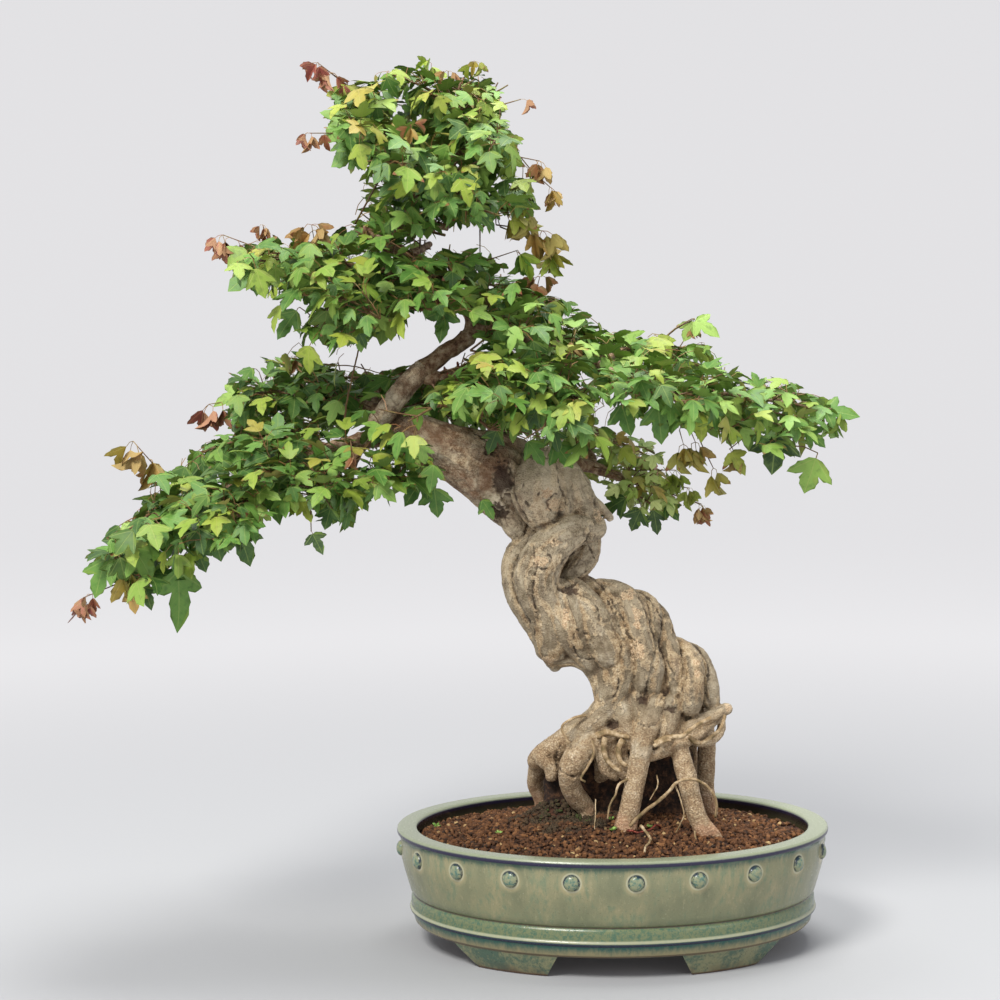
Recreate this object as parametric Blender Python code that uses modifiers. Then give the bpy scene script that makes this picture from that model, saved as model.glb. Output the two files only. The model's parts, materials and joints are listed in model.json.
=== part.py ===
"""A trident maple bonsai with exposed roots, growing in a glazed oval pot.

Everything is modelled at real size, in metres with +Z up. Lengths below are in millimetres and are
turned into metres by MM. Routes are measured from the pot's upright axis at the level of its feet,
with +X to the right and -Y towards the viewer. At the end the whole model is moved so that its
origin is the middle of its own box, on the ground.

The pieces: the pot with its feet and studs (one ceramic body), two drainage meshes on the pot's
floor, the soil, the anchor wire that ties the tree down, the wood (roots, trunk and branches grown
as one body), and one leafy spray for each branch end.
"""

import math
import random

import bmesh
import bpy
from mathutils import Matrix, Vector
from mathutils.bvhtree import BVHTree

MM = 0.001
GAP = 0.3

# Pot: an oval whose short half-axis is always this much less than its long one.
POT_HEIGHT = 118.0
POT_HALF_LENGTH = 215.0
OVAL_OFFSET = 40.0
POT_SIDES = 32
FOOT_HEIGHT = 22.0
FLOOR_TOP = 34.0
# Outer and inner profile as (long half-axis, height), from the underside round the lip to the floor.
POT_PROFILE = (
    (197.0, FOOT_HEIGHT), (199.2, 30.5), (202.3, 36.0), (201.4, 47.5), (199.6, 51.5), (202.0, 56.0),
    (206.5, 71.0), (211.0, 87.5), (211.2, 107.5), (214.2, 111.8), (POT_HALF_LENGTH, 114.5),
    (213.2, POT_HEIGHT), (196.5, 117.6), (194.5, 115.0), (197.0, 105.0), (190.0, 60.0),
    (182.0, FLOOR_TOP),
)
FOOT_OUTER = ((186.0, 0.0), (196.0, FOOT_HEIGHT + 3.0))
FOOT_INNER = ((166.0, -1.0), (170.0, FOOT_HEIGHT + 4.0))
FRONT_GAP_HALF = (70.0, 59.0)
END_GAP_HALF = (104.0, 92.0)
STUD_COUNT = 20
STUD_RADIUS = 7.6
STUD_RISE = 4.6
STUD_HEIGHT = 97.0
STUD_WALL_HALF = 211.3
STUD_FIRST_ARC = -226.0
STUD_SEGMENTS = 8
DRAIN_RADIUS = 11.0
DRAIN_OFFSET = 75.0

# Drainage mesh: a small plastic square with a grid of openings.
MESH_WIDTH = 36.0
MESH_THICKNESS = 1.0
MESH_OPENING = 7.4
MESH_PITCH = 10.6

# Soil: fills the pot to just under its lip and is mounded round the roots.
SOIL_EDGE = 104.5
SOIL_MOUND = 19.5
SOIL_MOUND_HALF_LENGTH = 196.0
SOIL_MOUND_HALF_WIDTH = 156.0
SOIL_UNEVEN = 1.2
SOIL_WAVE = 90.0
SOIL_RINGS = (0.86, 0.62, 0.34)
ROOT_DEPTH = 104.0
HOLE_TOP = 150.0
ROOT_CLEARANCE = 3.2
TOE_CLEARANCE = 4.5

# Wood: how finely the fused ropes are rebuilt as one skin, and how many faces it keeps.
SKIN_CELL = 2.6
SKIN_FACES = 2500
BRANCH_STEP = 32.0
STOUT_BRANCH = 6.0
# Past each end of a rope: how far a closing ring lies and how wide it is, as shares of the end's radius.
ROUND_END = ((0.55, 0.82), (0.9, 0.42))

# Leaves and twigs.
LEAF_LENGTH = 40.0
LEAF_THICKNESS = 0.75
LEAF_SIZE_RANGE = (0.78, 1.12)
LEAF_STALK = 0.55
LEAF_TRIES = 6
PETIOLE_WIDTH = 1.0
TWIG_ROOT_RADIUS = 2.4
TWIG_FORK_RADIUS = 1.5
TWIG_TIP_RADIUS = 1.3
TWIG_STEP = 46.0
FIRST_STRETCH = 5.0
TIP_SITE = 3.5
CLEAR_OF_OTHERS = 0.45
LEAF_DROOP = (15.0, 75.0)
LEAF_ROLL = 35.0

# Trunk ropes, each a list of (x, y, z, radius) by eye along its middle. Trunk head first.
TRUNK_ROPES = {
    "egg": ((-69, -6, 486, 14), (-71, -16, 471, 22), (-73, -22, 451, 26), (-69, -18, 432, 20),
            (-62, -8, 417, 12)),
    "head_right": ((-49, 0, 480, 12), (-38, -4, 462, 15), (-31, -6, 446, 16), (-25, -8, 431, 15),
                   (-22, -8, 415, 14)),
    "dead_twig": ((-48, -8, 480, 5), (-35, -10, 472, 5), (-26, -8, 460, 5), (-19, -4, 445, 5),
                  (-9, 2, 434, 5), (0, 6, 423, 4.5)),
    "left_egg": ((-109, -2, 440, 7), (-101, 0, 428, 12), (-94, 2, 416, 13), (-88, 4, 404, 9)),
    "curl_knob": ((-101, -14, 452, 5), (-109, -18, 450, 6), (-113, -18, 444, 6), (-108, -14, 438, 6)),
    "head_back": ((-64, 20, 471, 20), (-59, 24, 448, 24), (-49, 22, 425, 22), (-41, 18, 400, 18),
                  (-39, 22, 380, 14)),
    "great_rope": ((-18, -6, 415, 15), (-36, -18, 414, 18), (-53, -26, 405, 20), (-66, -28, 390, 22),
                   (-73, -26, 372, 23), (-71, -22, 353, 23), (-63, -18, 335, 23), (-58, -14, 316, 23),
                   (-58, -10, 299, 20)),
    "left_rope": ((-70, 2, 414, 9), (-83, 4, 400, 12), (-93, 2, 385, 14), (-96, 0, 365, 13),
                  (-91, -2, 345, 13), (-80, -4, 327, 13), (-70, -6, 311, 13), (-62, -6, 293, 12)),
    "chin": ((-51, -4, 305, 14), (-59, -4, 289, 12), (-56, -4, 277, 7)),
    "cheek": ((-50, -20, 350, 17), (-45, -23, 332, 19), (-40, -22, 314, 19), (-30, -16, 298, 17),
              (-18, -12, 284, 15)),
    "head_fill": ((-52, 0, 474, 17), (-47, -6, 455, 19), (-45, -8, 434, 18)),
    "inner_band": ((-20, 12, 419, 12), (-19, 14, 401, 11), (-22, 12, 385, 12), (-31, 8, 374, 12),
                   (-41, 2, 365, 9)),
    "waist_back": ((-49, 24, 380, 18), (-55, 26, 360, 20), (-50, 26, 339, 22), (-35, 26, 319, 22)),
    "middle_fill": ((-39, -12, 352, 16), (-23, -20, 335, 17), (-12, -24, 313, 18), (-4, -24, 293, 18)),
    "grey_rope": ((-12, 2, 355, 9), (3, -4, 352, 11), (16, -12, 344, 13), (23, -20, 332, 14),
                  (26, -24, 315, 13), (30, -26, 297, 13), (33, -24, 280, 13), (30, -20, 263, 12)),
    "middle_rope": ((25, 4, 344, 9), (37, -2, 338, 10), (40, -10, 326, 11), (40, -16, 310, 10),
                    (39, -22, 295, 9), (42, -24, 277, 10), (39, -20, 257, 10)),
    "right_rope": ((41, 8, 333, 9), (49, 2, 324, 10), (52, -6, 310, 11), (57, -12, 293, 11),
                   (62, -16, 276, 10), (62, -16, 254, 9)),
    "bulb_rope": ((65, 6, 296, 9), (75, -4, 288, 11), (80, -12, 275, 12), (78, -18, 256, 13),
                  (77, -18, 240, 13)),
    "outer_rope": ((74, 14, 290, 9), (86, 8, 284, 10), (93, 4, 272, 10), (97, 0, 256, 11),
                   (99, 0, 240, 10)),
    "column": ((4, -2, 342, 20), (6, -8, 321, 24), (7, -10, 298, 26), (6, -12, 276, 24),
               (2, -14, 254, 19), (-2, -14, 236, 16)),
    "arch": ((-51, -6, 287, 12), (-36, -8, 288, 12), (-21, -8, 280, 12), (-11, -8, 263, 11),
             (-7, -8, 245, 11)),
    "core": ((-25, 14, 344, 22), (0, 14, 318, 30), (30, 12, 290, 34), (49, 10, 260, 32),
             (54, 10, 237, 28)),
    "back_rope_left": ((-40, 40, 345, 12), (-18, 44, 322, 15), (-4, 44, 295, 15), (4, 40, 266, 14),
                       (6, 34, 240, 13)),
    "back_rope_middle": ((-8, 38, 340, 11), (14, 46, 318, 14), (28, 50, 290, 14), (36, 46, 260, 14),
                         (38, 38, 232, 14)),
    "back_rope_right": ((22, 30, 328, 11), (44, 40, 306, 13), (60, 42, 280, 13), (68, 38, 252, 13),
                        (72, 32, 228, 13)),
}

# Roots above the soil. Those in ROOT_LEGS end in the soil and are cut level there.
ROOT_LEGS = {
    "left_heel": ((-70, 34, 178, 11), (-74, 46, 162, 9.5), (-75, 58, 145, 9), (-68, 66, 126, 9)),
    "left_leg": ((-12, -14, 206, 12), (-24, -16, 199, 13), (-34, -16, 188, 15), (-41, -14, 174, 13),
                 (-42, -8, 159, 11), (-35, 2, 143, 11), (-25, 10, 128, 10)),
    "back_left_leg": ((6, 0, 226, 14), (1, 10, 202, 13), (-7, 22, 176, 11), (-9, 30, 157, 12),
                      (-3, 36, 139, 11), (2, 38, 125, 10)),
    "front_leg": ((42, -18, 239, 16), (35, -28, 224, 14), (29, -34, 207, 12), (26, -38, 190, 11),
                  (22, -40, 171, 10.5), (18, -42, 151, 10.5), (14, -42, 133, 11), (11, -42, 119, 12)),
    "right_leg": ((60, -10, 228, 12), (64, -18, 209, 11), (67, -26, 191, 10), (72, -32, 172, 10.5),
                  (76, -38, 153, 10), (81, -42, 134, 10), (87, -44, 120, 10)),
    "back_right_leg": ((85, 20, 233, 13), (93, 30, 210, 12), (98, 38, 189, 10), (98, 42, 167, 9.5),
                       (98, 46, 146, 9), (101, 48, 128, 8), (103, 50, 116, 8)),
    "rear_leg": ((36, 36, 213, 14), (31, 50, 187, 11), (26, 60, 154, 10), (22, 66, 129, 9)),
    "rear_right_leg": ((75, 34, 213, 12), (81, 54, 186, 9), (84, 68, 155, 9), (84, 74, 131, 8)),
    "right_toe": ((84, -44, 128, 8), (94, -46, 119, 7), (102, -48, 112, 5)),
}
UPPER_ROOTS = {
    "left_root": ((0, -14, 239, 17), (-17, -10, 221, 15), (-34, 0, 208, 15), (-51, 14, 194, 14),
                  (-66, 26, 182, 13), (-74, 33, 175, 11)),
    "left_knob": ((-66, 20, 181, 12), (-59, 16, 172, 10), (-60, 14, 163, 7)),
    "right_knob": ((117, -2, 234, 8), (110, -4, 231, 7.5), (97, -10, 226, 7), (87, -16, 222, 7),
                   (77, -20, 216, 8)),
    "crossing_root": ((108, 2, 224, 5), (97, -10, 217, 5.5), (85, -20, 210, 6), (70, -26, 202, 6),
                      (54, -28, 195, 6), (38, -30, 190, 6)),
    "looping_root": ((109, 4, 224, 5), (110, 2, 212, 5), (104, -2, 203, 5), (94, -8, 199, 5),
                     (84, -12, 200, 4.5), (77, -16, 208, 5)),
    "curled_root": ((9, -22, 223, 8), (1, -26, 212, 8), (-9, -24, 207, 8), (-14, -22, 198, 7)),
    "hanging_root_a": ((-7, -24, 202, 8), (-9, -24, 189, 8), (-6, -22, 175, 7), (3, -20, 168, 5)),
    "hanging_root_b": ((13, -26, 206, 6), (9, -26, 194, 6), (14, -26, 182, 6), (21, -30, 175, 5)),
    "hanging_root_c": ((1, -24, 204, 5), (-2, -26, 191, 4.5), (4, -26, 178, 4.5), (11, -28, 169, 4)),
    "root_lump": ((49, -18, 226, 10), (55, -22, 213, 8), (58, -24, 201, 6)),
    "root_core": ((2, 12, 222, 18), (26, 16, 212, 21), (52, 16, 212, 22), (80, 14, 222, 18)),
    "root_core_low": ((30, 24, 212, 20), (29, 34, 188, 15), (26, 44, 168, 12)),
}

# The heavy limb that leaves the trunk head to the left, and the stout branch that turns back up.
LIMB_ROPES = {
    "limb": ((-74, 22, 449, 24), (-94, 14, 457, 31), (-119, 4, 472, 36), (-142, 0, 484, 32),
             (-162, -4, 493, 27), (-181, -8, 501, 25), (-201, -12, 510, 23), (-218, -16, 514, 16)),
    "limb_top": ((-89, 14, 489, 14), (-106, 4, 496, 14), (-123, -2, 499, 14)),
    "limb_under": ((-87, 10, 408, 7), (-103, 8, 425, 12), (-121, 6, 443, 14), (-140, 2, 462, 14),
                   (-160, -2, 476, 14)),
    "turned_branch": ((-218, -20, 514, 13), (-230, -30, 518, 10.5), (-221, -34, 530, 11),
                      (-207, -34, 548, 11.5), (-194, -32, 563, 11), (-184, -28, 572, 11)),
}

# Bare branches, tapering. Each starts inside what carries it and ends in a blunt end.
BRANCHES = {
    "upper_trunk": ((-190, -30, 567, 9), (-184, -28, 572, 9.5), (-170, -24, 582, 9), (-156, -20, 592, 8),
                    (-144, -18, 599, 8), (-136, -16, 609, 7.5), (-135, -14, 622, 7), (-141, -12, 637, 7),
                    (-151, -10, 649, 6.5), (-163, -8, 658, 6), (-180, -6, 672, 6), (-197, -4, 684, 5.5),
                    (-210, -2, 695, 5.5), (-207, 0, 709, 5), (-201, 0, 724, 5), (-191, -2, 736, 4.5),
                    (-181, -4, 752, 4.5), (-171, -6, 765, 4), (-158, -8, 778, 4), (-150, -8, 788, 3.5),
                    (-146, -8, 803, 3)),
    "brown_stub": ((-186, -29, 566, 7), (-162, -26, 564, 7), (-147, -28, 570, 6), (-129, -36, 574, 5),
                   (-110, -50, 574, 3.6)),
    "low_left": ((-205, -14, 510, 12), (-222, -14, 508, 11), (-246, -18, 502, 9), (-275, -22, 495, 7.5),
                 (-309, -28, 483, 6.5), (-343, -34, 469, 5.5), (-372, -38, 458, 5), (-396, -42, 450, 4)),
    "low_left_front": ((-306, -24, 485, 5), (-319, -48, 474, 4), (-328, -66, 465, 3.4)),
    "low_left_back": ((-272, -22, 496, 6), (-291, 6, 497, 4.6), (-304, 30, 501, 3.6)),
    "low_front": ((-246, -18, 502, 6), (-248, -40, 490, 4.6), (-252, -56, 479, 3.6)),
    "back_left": ((-196, -12, 510, 10), (-216, 20, 524, 8), (-237, 46, 533, 6), (-260, 66, 539, 4)),
    "back_middle": ((-232, 40, 532, 5), (-235, 80, 545, 4), (-233, 100, 551, 3.4)),
    "mid_left": ((-161, -8, 657, 5), (-180, -10, 662, 4.6), (-205, -14, 666, 4.2), (-229, -18, 670, 3.6)),
    "mid_front": ((-150, -8, 648, 5), (-158, -36, 643, 4), (-165, -56, 638, 3.4)),
    "mid_back": ((-141, -12, 637, 5), (-155, 16, 640, 4.4), (-171, 44, 645, 3.6)),
    "upper_left": ((-209, -2, 696, 4.4), (-226, -6, 703, 3.8), (-241, -8, 711, 3.2)),
    "apex_left": ((-171, -6, 765, 3.6), (-184, -10, 776, 3.2), (-195, -14, 788, 2.8)),
    "apex_right": ((-158, -8, 778, 3.6), (-143, -20, 783, 3.2), (-129, -32, 786, 2.8)),
    "apex_back": ((-158, -8, 778, 3.6), (-155, 14, 787, 3.2), (-153, 34, 795, 2.8)),
    "apex_front": ((-181, -4, 752, 4), (-176, -28, 748, 3.4), (-170, -46, 745, 2.8)),
    "upper_right": ((-201, 0, 722, 4.4), (-180, -10, 716, 3.8), (-157, -18, 710, 3.2)),
    "upper_back": ((-197, -4, 684, 4.8), (-186, 20, 690, 4), (-177, 44, 696, 3.2)),
    "right_long": ((-137, -15, 611, 6.5), (-107, -18, 615, 5.8), (-69, -24, 597, 5.4), (-11, -30, 577, 5),
                   (48, -34, 558, 4.4), (98, -36, 549, 3.6)),
    "right_front": ((-14, -30, 578, 4.4), (0, -54, 569, 3.8), (9, -74, 564, 3.2)),
    "right_back": ((-69, -24, 597, 4.6), (-52, 2, 600, 4), (-36, 24, 602, 3.4)),
    "right_under": ((48, -34, 558, 3.8), (60, -48, 546, 3.4), (71, -58, 534, 2.8)),
    "right_upper": ((-11, -30, 577, 4.4), (2, -10, 584, 3.8), (15, 6, 590, 3.2)),
    "centre_top": ((-105, -18, 614, 5), (-96, -4, 625, 4), (-86, 8, 634, 3.4)),
    "front_left": ((-147, -28, 570, 4.6), (-145, -46, 559, 4), (-142, -62, 549, 3.4)),
    "right_low_back": ((-49, 28, 470, 10), (-33, 46, 474, 8), (-12, 62, 469, 6), (14, 78, 458, 4.2)),
    "centre_back": ((-14, 60, 469, 5), (-16, 84, 481, 4.2), (-26, 104, 490, 3.4)),
}

# Leafy sprays. Each grows on from the branch of its name, first along its main twig, then into arms
# that fork from the point of the main twig with the given number. Last come its leaf count and seed.
SPRAYS = {
    "low_left": (((-424, -50, 438), (-452, -58, 419), (-481, -64, 396), (-507, -66, 372)),
                 ((1, (-440, -80, 440), (-462, -100, 425)), (1, (-440, -20, 445), (-470, 0, 430))), 9, 11),
    "low_left_front": (((-347, -88, 452), (-372, -108, 436), (-400, -122, 423)),
                       ((1, (-340, -120, 440), (-350, -145, 425)),), 6, 12),
    "low_left_back": (((-331, 62, 501), (-365, 90, 494), (-403, 110, 483)),
                      ((1, (-325, 95, 505), (-335, 125, 500)), (1, (-375, 50, 500), (-410, 45, 490))), 8, 13),
    "low_front": (((-257, -80, 469), (-270, -105, 460), (-287, -120, 452)),
                  ((0, (-218, -90, 468), (-189, -98, 470)), (1, (-300, -85, 475), (-325, -95, 480))), 9, 14),
    "back_left": (((-303, 95, 542), (-352, 120, 537), (-406, 140, 527)),
                  ((1, (-330, 60, 550), (-372, 40, 545)), (1, (-320, 140, 548), (-345, 165, 545))), 9, 15),
    "back_middle": (((-222, 125, 559), (-207, 150, 566)),
                    ((0, (-264, 140, 561), (-285, 165, 560)),
                     (0, (-181, 135, 552), (-150, 150, 546))), 6, 16),
    "mid_left": (((-267, -24, 677), (-310, -30, 687), (-353, -38, 697), (-381, -42, 700)),
                 ((1, (-320, -65, 680), (-350, -85, 678)), (1, (-320, 10, 690), (-350, 35, 692))), 9, 17),
    "mid_front": (((-188, -80, 631), (-220, -105, 623), (-257, -120, 620)),
                  ((0, (-154, -100, 630), (-126, -115, 623)),
                   (1, (-250, -85, 640), (-285, -80, 645))), 7, 18),
    "mid_back": (((-208, 75, 651), (-261, 100, 662), (-313, 115, 671)),
                 ((0, (-168, 90, 671), (-158, 120, 687)), (1, (-225, 120, 660), (-235, 150, 655))), 8, 19),
    "upper_left": (((-262, -12, 724), (-281, -16, 743), (-292, -20, 769), (-298, -22, 791)),
                   ((0, (-280, -40, 712), (-308, -60, 700)), (1, (-295, 20, 740), (-310, 50, 745))), 7, 20),
    "apex_left": (((-222, -18, 810), (-251, -22, 834), (-274, -24, 853)),
                  ((0, (-230, -50, 794), (-250, -75, 800)), (1, (-255, 15, 825), (-270, 45, 830))), 6, 21),
    "upper_trunk": (((-145, -6, 825), (-146, -2, 844), (-138, 2, 862)),
                    ((0, (-178, -10, 846), (-202, -14, 856)), (1, (-118, 6, 840), (-98, 10, 846))), 6, 22),
    "apex_right": (((-106, -48, 794), (-85, -58, 808)),
                   ((0, (-85, -60, 772), (-60, -66, 760)), (0, (-110, -85, 790), (-112, -110, 785))), 6, 23),
    "apex_back": (((-154, 62, 811), (-156, 85, 832)),
                  ((0, (-187, 92, 803), (-215, 110, 800)), (0, (-121, 85, 807), (-95, 105, 800))), 6, 24),
    "apex_front": (((-163, -70, 752), (-151, -92, 760)),
                   ((0, (-190, -88, 766), (-215, -105, 770)),
                    (0, (-135, -85, 729), (-112, -100, 720))), 6, 25),
    "upper_right": (((-126, -26, 708), (-92, -34, 701), (-63, -40, 692)),
                    ((0, (-106, -35, 727), (-85, -45, 738)), (1, (-80, 0, 705), (-65, 30, 702))), 6, 26),
    "upper_back": (((-162, 75, 706), (-145, 100, 716)),
                   ((0, (-209, 100, 718), (-240, 115, 722)), (0, (-117, 92, 691), (-90, 110, 688))), 6, 27),
    "right_long": (((135, -38, 543), (173, -40, 537), (204, -42, 529)),
                   ((0, (148, -60, 517), (175, -75, 493)), (1, (180, -5, 545), (200, 25, 540))), 8, 28),
    "right_front": (((24, -98, 555), (49, -120, 546), (74, -130, 540)),
                    ((0, (-4, -112, 544), (-18, -135, 530)), (1, (70, -95, 555), (95, -85, 560))), 7, 29),
    "right_back": (((-7, 52, 594), (35, 80, 583), (82, 100, 575)),
                   ((0, (-40, 80, 596), (-56, 110, 590)), (1, (15, 105, 590), (10, 135, 585))), 8, 30),
    "right_under": (((88, -72, 518), (103, -82, 503)),
                    ((0, (72, -100, 510), (60, -120, 500)), (0, (121, -70, 510), (140, -62, 500))), 6, 31),
    "right_upper": (((42, 26, 594), (83, 40, 598), (114, 55, 588)),
                    ((1, (95, 10, 602), (125, -5, 600)),), 6, 32),
    "centre_top": (((-67, 22, 640), (-55, 34, 651)),
                   ((0, (-33, 20, 630), (-5, 25, 622)), (0, (-102, 45, 650), (-115, 70, 655))), 6, 33),
    "brown_stub": (((-84, -78, 565), (-56, -100, 554), (-24, -118, 543)),
                   ((0, (-99, -108, 558), (-105, -135, 548)),
                    (1, (-62, -130, 535), (-70, -145, 515))), 8, 34),
    "front_left": (((-135, -82, 533), (-118, -98, 517)),
                   ((0, (-165, -98, 540), (-188, -112, 530)),), 5, 35),
    "right_low_back": (((51, 105, 443), (89, 128, 428)),
                       ((0, (47, 95, 475), (75, 90, 490)), (0, (20, 115, 470), (0, 150, 475))), 8, 36),
    "centre_back": (((-46, 130, 499), (-77, 150, 509)),
                    ((0, (-5, 135, 504), (20, 155, 510)),), 5, 37),
}

# Anchor wire: from under the pot's floor up through a drain hole and the soil to a curl at the root.
WIRE_RADIUS = 1.1
WIRE_HIDDEN = ((48, 0, 20.5), (68, 0, 20.5), (75, -1, 24), (76, -2, 40), (70, -8, 66), (58, -20, 92))
WIRE_OUT = ((44, -44), (34, -55), (24, -62))
WIRE_CURL_CENTRE = (17.0, -66.0)
WIRE_CURL_RADIUS = 5.0
WIRE_CURL_ANGLES = (35, 83, 131, 179, 227, 275)
WIRE_CURL_RISE = 0.9

MAIN = "trident_maple_bonsai"


def clear_scene():
    for old in list(bpy.data.objects):
        bpy.data.objects.remove(old, do_unlink=True)
    for kept in (MAIN, "cutters"):
        bpy.context.scene.collection.children.link(bpy.data.collections.new(kept))


def principled(name, colour, roughness, metallic=0.0):
    material = bpy.data.materials.new(name)
    material.use_nodes = True
    shader = material.node_tree.nodes["Principled BSDF"]
    shader.inputs["Base Color"].default_value = (*colour, 1.0)
    shader.inputs["Roughness"].default_value = roughness
    shader.inputs["Metallic"].default_value = metallic
    return material


def add_object(name, mesh, collection=MAIN):
    piece = bpy.data.objects.new(name, mesh)
    bpy.data.collections[collection].objects.link(piece)
    return piece


def object_from(name, bm, collection=MAIN):
    """The bmesh as a new object, with its faces turned outwards."""
    bmesh.ops.recalc_face_normals(bm, faces=bm.faces)
    mesh = bpy.data.meshes.new(name)
    bm.to_mesh(mesh)
    bm.free()
    return add_object(name, mesh, collection)


def evaluated_mesh(piece):
    graph = bpy.context.evaluated_depsgraph_get()
    return bpy.data.meshes.new_from_object(piece.evaluated_get(graph))


def apply_modifiers(piece):
    mesh = evaluated_mesh(piece)
    old = piece.data
    piece.modifiers.clear()
    piece.data = mesh
    bpy.data.meshes.remove(old)


def boolean(base, others, operation="UNION", solver="EXACT"):
    """One Boolean of the base with all the others, applied, after which the others are removed."""
    group = bpy.data.collections.new("joining")
    bpy.context.scene.collection.children.link(group)
    for other in others:
        for owner in list(other.users_collection):
            owner.objects.unlink(other)
        group.objects.link(other)
    modifier = base.modifiers.new("join", "BOOLEAN")
    modifier.operand_type = "COLLECTION"
    modifier.collection = group
    modifier.operation = operation
    modifier.solver = solver
    apply_modifiers(base)
    for other in list(group.objects):
        bpy.data.objects.remove(other, do_unlink=True)
    bpy.data.collections.remove(group)


def keep_largest_body(piece):
    """Drops loose scraps and the skins of sealed hollows, and keeps the largest closed skin."""
    bm = bmesh.new()
    bm.from_mesh(piece.data)
    unseen = set(bm.faces)
    bodies = []
    while unseen:
        stack = [unseen.pop()]
        body = []
        while stack:
            face = stack.pop()
            body.append(face)
            for edge in face.edges:
                for near in edge.link_faces:
                    if near in unseen:
                        unseen.remove(near)
                        stack.append(near)
        bodies.append(body)
    bodies.sort(key=len)
    for body in bodies[:-1]:
        bmesh.ops.delete(bm, geom=body, context="FACES")
    bm.to_mesh(piece.data)
    bm.free()


def through(points, step):
    """A smooth curve through the points, as points about one step apart (Catmull-Rom)."""
    knots = [Vector(point) for point in points]
    knots.insert(0, knots[0] * 2 - knots[1])
    knots.append(knots[-1] * 2 - knots[-2])
    route = []
    for before, start, end, after in zip(knots, knots[1:], knots[2:], knots[3:]):
        length = (Vector(end[:3]) - Vector(start[:3])).length
        pieces = max(1, round(length / step))
        for index in range(pieces):
            t = index / pieces
            route.append(0.5 * (2 * start + (end - before) * t
                                + (2 * before - 5 * start + 4 * end - after) * t ** 2
                                + (3 * start - before - 3 * end + after) * t ** 3))
    route.append(knots[-2])
    return route


def rounded(route):
    """The rope with two smaller rings past each end, so that its ends are round."""
    def beyond(end, inner):
        outward = (Vector(end[:3]) - Vector(inner[:3])).normalized()
        radius = end[3]
        return [Vector((*(Vector(end[:3]) + outward * radius * reach), radius * share))
                for reach, share in ROUND_END]
    return beyond(route[0], route[1])[::-1] + route + beyond(route[-1], route[-2])


def tubes(name, routes, resolution, collection=MAIN):
    """One curve object with a tube for each route of (x, y, z, radius), as a mesh of closed tubes."""
    curve = bpy.data.curves.new(name, "CURVE")
    curve.dimensions = "3D"
    curve.bevel_depth = MM
    curve.bevel_resolution = resolution
    curve.use_fill_caps = True
    for route in routes:
        spline = curve.splines.new("POLY")
        spline.points.add(len(route) - 1)
        for point, place in zip(spline.points, route):
            point.co = (place[0] * MM, place[1] * MM, place[2] * MM, 1.0)
            point.radius = place[3]
    drawn = add_object(name + "_curve", curve, collection)
    mesh = evaluated_mesh(drawn)
    bpy.data.objects.remove(drawn, do_unlink=True)
    bm = bmesh.new()
    bm.from_mesh(mesh)
    bmesh.ops.remove_doubles(bm, verts=bm.verts, dist=0.00001)
    bpy.data.meshes.remove(mesh)
    return object_from(name, bm, collection)


def grow_oval(bm, ring, old_half, half, height):
    for vertex in ring:
        angle = math.atan2(vertex.co.y / (old_half - OVAL_OFFSET), vertex.co.x / old_half)
        vertex.co = (half * math.cos(angle), (half - OVAL_OFFSET) * math.sin(angle), height)


def oval_body(name, profile, collection=MAIN):
    """A closed body from ovals of (long half-axis, height) joined in order, capped at both ends."""
    bm = bmesh.new()
    ring = bmesh.ops.create_circle(bm, cap_ends=True, segments=POT_SIDES, radius=1.0)["verts"]
    for vertex in ring:
        vertex.co.x *= profile[0][0]
        vertex.co.y *= profile[0][0] - OVAL_OFFSET
        vertex.co.z = profile[0][1]
    edges = list(bm.edges)
    for (old_half, _), (half, height) in zip(profile, profile[1:]):
        grown = bmesh.ops.extrude_edge_only(bm, edges=edges)["geom"]
        edges = [item for item in grown if isinstance(item, bmesh.types.BMEdge)]
        ring = [item for item in grown if isinstance(item, bmesh.types.BMVert)]
        grow_oval(bm, ring, old_half, half, height)
    bmesh.ops.edgeloop_fill(bm, edges=edges)
    bmesh.ops.scale(bm, vec=(MM, MM, MM), verts=bm.verts)
    return object_from(name, bm, collection)


def box(name, low, high, collection="cutters"):
    bm = bmesh.new()
    bmesh.ops.create_cube(bm, size=1.0)
    for vertex in bm.verts:
        for axis in range(3):
            vertex.co[axis] = MM * (low[axis] if vertex.co[axis] < 0 else high[axis])
    return object_from(name, bm, collection)


def foot_gap(name, half_low, half_high, reach, across_x):
    """A long wedge that clears the gap between two feet, wider at the ground."""
    cutter = box(name, (-half_low, -reach, -2.0), (half_low, reach, FOOT_HEIGHT))
    for vertex in cutter.data.vertices:
        if vertex.co.z > 0:
            vertex.co.x *= half_high / half_low
    if across_x:
        cutter.data.transform(Matrix.Rotation(math.radians(90), 4, "Z"))
    return cutter


def cylinder(name, x, y, low, high, radius, sides, collection="cutters"):
    bm = bmesh.new()
    bmesh.ops.create_cone(bm, cap_ends=True, segments=sides, radius1=radius * MM, radius2=radius * MM,
                          depth=(high - low) * MM)
    bmesh.ops.translate(bm, vec=Vector((x, y, (low + high) / 2)) * MM, verts=bm.verts)
    return object_from(name, bm, collection)


def oval_point(half, arc):
    """The point and outward direction at an arc length from the front of an oval."""
    short = half - OVAL_OFFSET
    steps = 2000
    angle = -math.pi / 2
    travelled = 0.0
    while travelled < abs(arc):
        travelled += math.hypot(half * math.sin(angle), short * math.cos(angle)) * 2 * math.pi / steps
        angle += math.copysign(2 * math.pi / steps, arc)
    outward = Vector((math.cos(angle) / half, math.sin(angle) / short, 0)).normalized()
    return Vector((half * math.cos(angle), short * math.sin(angle), 0)), outward


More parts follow.
